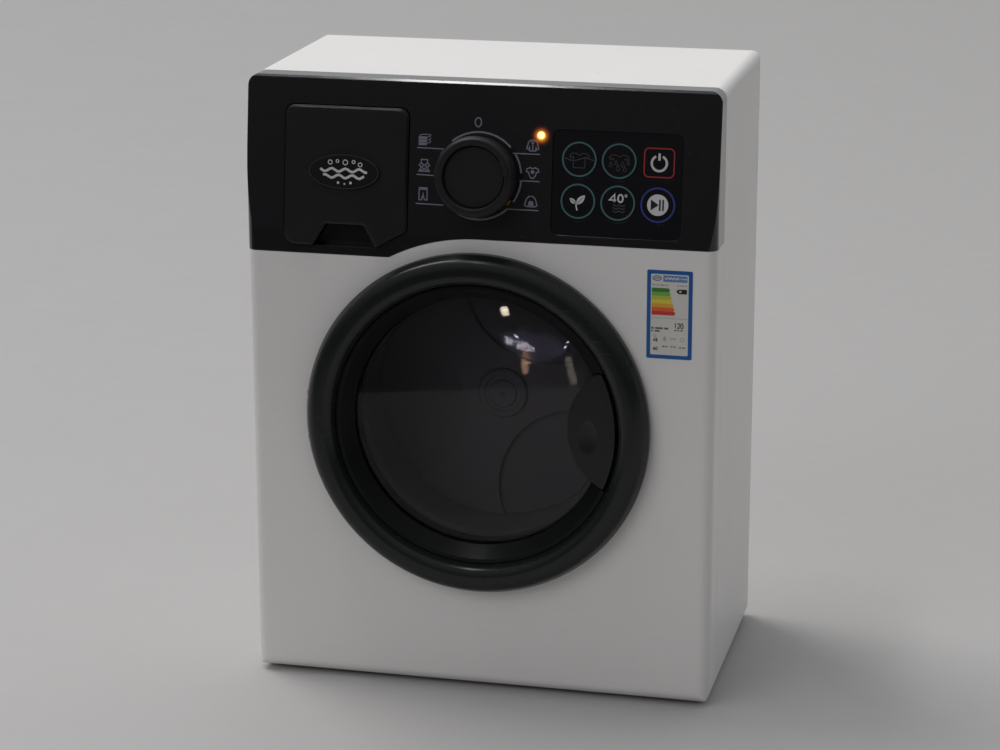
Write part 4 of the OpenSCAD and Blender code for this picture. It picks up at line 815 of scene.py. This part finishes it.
def jacket(p, ink):
    """An open jacket."""
    p.band(ink, [(-0.8, 2.1), (0.8, 2.1), (1.7, 1.3), (2.4, -1.3), (1.6, -1.6), (1.2, -0.3),
                 (1.2, -2.1), (-1.2, -2.1), (-1.2, -0.3), (-1.6, -1.6), (-2.4, -1.3), (-1.7, 1.3)],
           ICON_LINE, closed=True)
    p.band(ink, [(0, 1.5), (0, -2.0)], ICON_LINE)
    p.band(ink, [(-0.8, 2.0), (-0.3, 0.9), (0, 1.5), (0.3, 0.9), (0.8, 2.0)], ICON_LINE * 0.8)


def bodysuit(p, ink):
    """A baby's bodysuit with a motif on it."""
    p.band(ink, [(-1.0, 1.9), (0, 1.5), (1.0, 1.9), (2.2, 1.4), (2.5, 0.3), (1.5, 0.1),
                 (1.4, -0.8), (0.5, -2.2), (-0.5, -2.2), (-1.4, -0.8), (-1.5, 0.1), (-2.5, 0.3),
                 (-2.2, 1.4)], ICON_LINE, closed=True)
    p.disc(ink, 0, 0.2, 0.75)


def sweater(p, ink):
    """A sweater with a pouch."""
    p.band(ink, [(-0.8, 2.1), (0.8, 2.1), (1.8, 1.0), (2.5, -1.4), (1.7, -1.9), (-1.7, -1.9),
                 (-2.5, -1.4), (-1.8, 1.0)], ICON_LINE, closed=True)
    p.solid(ink, [(-1.2, -1.5), (1.2, -1.5), (0.9, -0.1), (0.5, 0.3), (-0.5, 0.3), (-0.9, -0.1)])


DIAL_ICONS = ((towels, -22.1, 12.98), (vest, -22.0, 3.0), (trousers, -22.2, -7.9),
              (jacket, 21.3, 12.8), (bodysuit, 21.5, 2.3), (sweater, 21.2, -9.1))


def print_dial(inks):
    """The programme marks around the knob."""
    p = Print("dial_print", on_face, inks, "cabinet")
    for start, end in DIAL_ARCS:
        p.arc("ink_grey", 0, 0, DIAL_RADIUS, start, end, DIAL_LINE)
    radius, start, end, width = DIAL_TICK
    p.arc("ink_amber", 0, 0, radius, start, end, width, layer=1)
    for up, near in LEADERS_LEFT:
        p.band("ink_grey", [(LEADER_ENDS[0], up + LEADER_DROP), (near, up)], LEADER_LINE)
    for up, near in LEADERS_RIGHT:
        p.band("ink_grey", [(near, up), (LEADER_ENDS[1], up)], LEADER_LINE)
    for draw, x, up in DIAL_ICONS:
        p.origin = (x, up)
        draw(p, "ink_grey")
    p.origin = ZERO_AT
    p.band("ink_grey", oval(0.0, 0.0, *ZERO_SIZE, ZERO_STEPS), ZERO_LINE, closed=True)
    p.origin = (0.0, 0.0)
    p.build()


# The radius and line of the ring on a key, and the line of a garment on it, in millimetres.
KEY_RING_R, KEY_RING_LINE = 6.51, 0.62
GARMENT_LINE = 0.26


def key_ring(p, ink):
    """The ring round a key's mark."""
    p.arc(ink, 0, 0, KEY_RING_R, 0, 360, KEY_RING_LINE)


def shirt(p, ink):
    """A short-sleeved shirt in outline."""
    p.band(ink, [(-1.1, 2.3), (-0.5, 1.7), (0.5, 1.7), (1.1, 2.3), (2.9, 2.3), (3.9, 1.2),
                 (3.3, 0.5), (2.3, 1.0), (2.3, -3.3), (-2.3, -3.3), (-2.3, 1.0), (-3.3, 0.5),
                 (-3.9, 1.2), (-2.9, 2.3)], GARMENT_LINE, closed=True)


def drop(p, ink, x, y, size, width=0.24):
    """A water drop in outline."""
    belly = circle(x, y - size * 0.2, size * 0.55, 20, -200)
    p.band(ink, [(x, y + size)] + belly, width, closed=True)


def print_wave_key(p):
    """A shirt crossed by a wavy line."""
    key_ring(p, "ink_teal")
    shirt(p, "ink_dim")
    p.band("ink_dim", wave(-5.9, 5.9, 0.0, 0.55, 9.5), 0.3)


def print_drops_key(p):
    """The top of a shirt, with drops falling from it."""
    key_ring(p, "ink_teal")
    p.band("ink_dim", [(-1.1, 2.3), (-0.5, 1.7), (0.5, 1.7), (1.1, 2.3), (2.9, 2.3), (3.9, 1.2),
                       (3.3, 0.5), (2.3, 1.0), (2.3, 0.2)], GARMENT_LINE)
    p.band("ink_dim", [(-1.1, 2.3), (-2.9, 2.3), (-3.9, 1.2), (-3.3, 0.5), (-2.3, 1.0),
                       (-2.3, 0.2)], GARMENT_LINE)
    for x, y, size in ((-3.3, -1.6, 1.1), (-1.2, -0.7, 1.0), (-0.4, -2.8, 1.3),
                       (1.4, -1.3, 1.2), (3.6, -0.6, 1.0), (2.3, -3.2, 1.1)):
        drop(p, "ink_dim", x, y, size)


def print_power_key(p):
    """A framed power mark: a broken ring and a stroke."""
    p.band("ink_red", round_box(0, 0, 5.85, 5.55, 1.9), 0.55, closed=True)
    p.arc("ink_white", 0, -0.2, 2.95, 117, 423, 0.9)
    p.band("ink_white", [(0, 0.9), (0, 3.7)], 0.9)


def leaf(p, ink, x, y, length, width, turn):
    """A pointed leaf from its stalk end, turned by an angle in degrees."""
    a = math.radians(turn)
    along, across = math.cos(a), math.sin(a)
    side = [(length * t, width * math.sin(math.pi * t) ** 0.8 * (1.15 - 0.3 * t)) for t in
            (i / 12 for i in range(13))]
    form = side + [(u, -v) for u, v in side[-2:0:-1]]
    p.solid(ink, [(x + u * along - v * across, y + u * across + v * along) for u, v in form])
    p.band("ink_black", [(x + length * t * along, y + length * t * across) for t in (0.1, 0.75)],
           0.22, layer=1)


def print_leaf_key(p):
    """Two leaves on a stalk."""
    key_ring(p, "ink_teal")
    leaf(p, "ink_white", -0.5, -1.2, 4.9, 1.15, 48)
    leaf(p, "ink_white", -0.9, -1.0, 3.1, 0.85, 138)
    p.band("ink_white", [(-0.7, -1.1), (-0.55, -2.4), (-0.15, -3.6)], 0.5)


def print_forty_key(p):
    """Forty degrees over rows of waves."""
    key_ring(p, "ink_teal")
    p.band("ink_white", [(-1.3, 0.4), (-1.3, 3.3), (-3.3, 1.15), (-0.65, 1.15)], 0.58)
    p.band("ink_white", oval(1.05, 1.85, 0.95, 1.45, 28), 0.6, closed=True)
    p.arc("ink_white", 3.2, 2.95, 0.42, 0, 360, 0.28)
    for row in (-0.9, -2.1, -3.3):
        p.band("ink_dim", wave(-1.9, 3.0, row, 0.28, 2.45), 0.36)


def print_play_key(p):
    """A start and pause mark on a pale disc."""
    p.arc("ink_blue", 0, 0, 6.5, 0, 360, 0.75)
    p.disc("ink_white", 0, 0, 4.15)
    p.solid("ink_black", [(-2.7, 2.1), (0.35, 0.0), (-2.7, -2.1)], layer=1)
    for x in (0.85, 2.1):
        p.solid("ink_black", round_box(x, 0, 0.32, 2.15, 0.05), layer=1)


# The lamp's radius, and its glow's radius, fall-off and height off the panel, in millimetres.
LAMP_R = 1.5
GLOW_R, GLOW_FADE, GLOW_LEVEL = 5.2, 4.5, 0.12


def lamp_place(x, up):
    """A point on the panel round the lamp, in millimetres from the lamp's middle."""
    low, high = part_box("status_led")
    front = Vector(((low[0] + high[0]) / 2, low[1], high[2] - LAMP_R * MM))
    away = (front - KNOB) / MM
    return on_face(away.dot(RIGHT) + x, away.dot(UP) + up, GLOW_LEVEL)


def lamp_glow():
    """The glow round the lamp."""
    mesh = bpy.data.meshes.new("lamp_glow")
    rim = [lamp_place(x, up) for x, up in circle(0, 0, GLOW_R, 0, 360)]
    mesh.from_pydata(rim, [], [list(range(len(rim)))])
    mesh.materials.append(glow_film())
    piece = bpy.data.objects.new("lamp_glow", mesh)
    bpy.context.scene.collection.objects.link(piece)
    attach(piece, "cabinet")


# The height of the key caps' tops from the panel's face, in millimetres, and what draws each mark.
KEY_LEVEL = -0.5
KEY_PRINTS = (("key_wave", print_wave_key), ("key_drops", print_drops_key),
              ("key_power", print_power_key), ("key_leaf", print_leaf_key),
              ("key_forty", print_forty_key), ("key_play", print_play_key))


def print_keys(inks):
    """Each key's own mark, which moves with its key."""
    for node, draw in KEY_PRINTS:
        p = Print(node + "_print", on_face, inks, node, KEY_LEVEL)
        p.origin = face_place(node)
        draw(p)
        p.build()


# The badge's height over the panel's face, and its rim line: half sides and steps.
BADGE_LEVEL = 2.3
BADGE_RIM, BADGE_STEPS, BADGE_LINE = (14.15, 6.65), 72, 0.22
BADGE_RINGS = ((-5.6, 3.6, 0.8), (-2.6, 4.1, 0.55), (0.6, 3.7, 0.95), (4.0, 4.0, 0.6),
               (6.7, 3.0, 0.75))
BADGE_DOTS = ((-2.2, -4.4, 0.5), (0.4, -4.8, 0.38), (2.9, -4.3, 0.55))


def print_badge(inks):
    """Waves and bubbles on the drawer's oval badge."""
    p = Print("badge_print", on_face, inks, "drawer", BADGE_LEVEL)
    p.origin = face_place("drawer_badge")
    p.band("ink_rim", oval(0.0, 0.0, *BADGE_RIM, BADGE_STEPS), BADGE_LINE, closed=True)
    for row, half in ((0.6, 9.6), (-1.9, 8.4)):
        p.band("ink_white", wave(-half, half, row, 0.62, 5.6, 0.2 * row), 0.95)
    for x, y, size in BADGE_RINGS:
        p.arc("ink_white", x, y, size, 0, 360, 0.36)
    for x, y, size in BADGE_DOTS:
        p.disc("ink_white", x, y, size)
    p.build()


# The rating label's height in millimetres, its coloured bars with where each one's point ends,
# and the bars' step, left edge and distance below the label's top.
STICKER_HIGH = 35.45
STICKER_BARS = (("ink_green", 9.1), ("ink_grass", 9.4), ("ink_lime", 9.8), ("ink_yellow", 10.1),
                ("ink_orange", 10.5), ("ink_tomato", 10.9), ("ink_cherry", 11.3))
BAR_STEP, BAR_LEFT, BAR_TOP, BAR_POINT = 1.54, 1.9, 7.1, 0.5
# Plain strokes for numbers, in a box one wide and one high.
NUMERALS = {
    "0": [[(0.05, 0.2), (0.05, 0.8), (0.3, 1), (0.7, 1), (0.95, 0.8), (0.95, 0.2), (0.7, 0),
           (0.3, 0), (0.05, 0.2)]],
    "1": [[(0.15, 0.75), (0.55, 1), (0.55, 0)]],
    "2": [[(0.05, 0.8), (0.3, 1), (0.75, 1), (0.95, 0.75), (0.9, 0.5), (0.05, 0), (0.95, 0)]],
    "4": [[(0.75, 0), (0.75, 1), (0.05, 0.3), (1, 0.3)]],
    "6": [[(0.85, 0.95), (0.4, 0.9), (0.1, 0.5), (0.1, 0.2), (0.35, 0), (0.7, 0), (0.95, 0.25),
           (0.7, 0.55), (0.15, 0.45)]],
    "8": [[(0.5, 0.52), (0.15, 0.72), (0.3, 1), (0.7, 1), (0.85, 0.72), (0.5, 0.52), (0.1, 0.25),
           (0.3, 0), (0.7, 0), (0.9, 0.25), (0.5, 0.52)]],
}
NUMERAL_STEP = 1.35


def numeral(p, ink, text, x, y, wide, high, width, layer=1):
    """A plain number from its lower left corner."""
    for i, digit in enumerate(text):
        for stroke in NUMERALS[digit]:
            p.band(ink, [(x + (i * NUMERAL_STEP + u) * wide, y + v * high) for u, v in stroke],
                   width, layer=layer)


def dashes(p, ink, x0, x1, y, high, pieces, layer=1):
    """A row of short dashes in place of small print."""
    step = (x1 - x0) / sum(pieces)
    x = x0
    for i, length in enumerate(pieces):
        if i % 2 == 0:
            end = x + length * step
            p.solid(ink, [(x, y), (end, y), (end, y + high), (x, y + high)], layer)
        x += length * step


def sticker_head(p):
    """The pale panel, an oval, a strip and a row of small marks."""
    p.solid("ink_panel", round_box(8.95, -STICKER_HIGH / 2, 7.4, 16.2, 0.5))
    p.band("ink_violet", oval(3.95, -3.2, 1.65, 0.9, 32), 0.4, closed=True, layer=1)
    p.band("ink_violet", wave(2.8, 5.1, -3.2, 0.22, 1.1), 0.35, layer=1)
    p.solid("ink_strip", round_box(11.1, -3.25, 4.75, 1.25, 0.15), layer=1)
    p.band("ink_panel", wave(7.0, 12.6, -3.15, 0.35, 1.3), 0.42, layer=2)
    for x in (13.5, 14.5, 15.3):
        p.disc("ink_panel", x, -3.2, 0.3, layer=2)
    dashes(p, "ink_faint", 2.1, 8.3, -6.1, 0.45, (3, 1, 2, 1, 5, 1, 2))
    dashes(p, "ink_faint", 11.8, 15.7, -6.1, 0.45, (2, 1, 3, 1, 2))


def sticker_bars(p):
    """The coloured bars and the black pointer beside them."""
    for i, (ink, right) in enumerate(STICKER_BARS):
        high = -BAR_TOP - i * BAR_STEP
        low = high - BAR_STEP
        p.solid(ink, [(BAR_LEFT, low), (right - BAR_POINT, low), (right, (low + high) / 2),
                      (right - BAR_POINT, high), (BAR_LEFT, high)], layer=1)
    p.solid("ink_black", [(11.5, -8.2), (12.4, -9.15), (15.7, -9.15), (15.7, -7.3), (12.4, -7.3)],
            layer=1)
    p.solid("ink_panel", round_box(13.1, -8.2, 0.4, 0.35, 0.1), layer=2)


def sticker_foot(p):
    """A line, plain numbers, small marks and rows of dashes."""
    p.band("ink_faint", [(1.9, -19.1), (15.9, -19.1)], 0.16, layer=1)
    numeral(p, "ink_text", "120", 10.9, -22.9, 0.95, 1.9, 0.42)
    numeral(p, "ink_text", "48", 2.7, -28.5, 0.7, 1.1, 0.34)
    numeral(p, "ink_text", "60", 2.7, -32.0, 0.7, 1.1, 0.34)
    for x0, x1, y, high, pieces in (
            (10.9, 14.4, -24.0, 0.4, (3, 1, 2, 1, 3)), (1.9, 8.5, -23.6, 0.75, (2, 1, 6, 1, 3)),
            (1.9, 5.2, -24.7, 0.65, (1, 1, 3)), (6.2, 8.4, -30.7, 0.45, (3, 1, 2)),
            (9.6, 11.6, -30.7, 0.45, (2, 1, 2)), (12.9, 15.4, -30.9, 0.45, (2, 1, 3))):
        dashes(p, "ink_text", x0, x1, y, high, pieces)
    p.arc("ink_faint", 3.3, -26.3, 0.55, 0, 360, 0.2, layer=1)
    drop(p, "ink_faint", 7.2, -27.4, 0.75, 0.22)
    p.band("ink_faint", wave(9.4, 11.6, -27.3, 0.3, 1.1), 0.28, layer=1)
    p.arc("ink_faint", 14.1, -27.5, 0.75, 0, 360, 0.22, layer=1)


def print_sticker(inks):
    """A plain rating label, measured from the left end of its top edge."""
    p = Print("sticker_print", on_sticker, inks, "cabinet")
    p.origin = (0.0, STICKER_HIGH)
    sticker_head(p)
    sticker_bars(p)
    sticker_foot(p)
    p.build()


# ---------------------------------------------------------------- dressing the CAD nodes

def dress_nodes(materials):
    """Each CAD node gets the finish of its record slot."""
    for part in frame["record"]["subparts"]:
        node = NODES[part["node"]]
        node.data.materials.clear()
        node.data.materials.append(materials[part["material_slot"]])


def main():
    """The whole scene."""
    materials = make_materials()
    inks = make_inks()
    dress_nodes(materials)
    print_dial(inks)
    print_keys(inks)
    print_badge(inks)
    print_sticker(inks)
    lamp_glow()
    make_floor()
    make_camera()
    make_studio()
    bpy.context.scene.view_settings.view_transform = "Standard"


main()
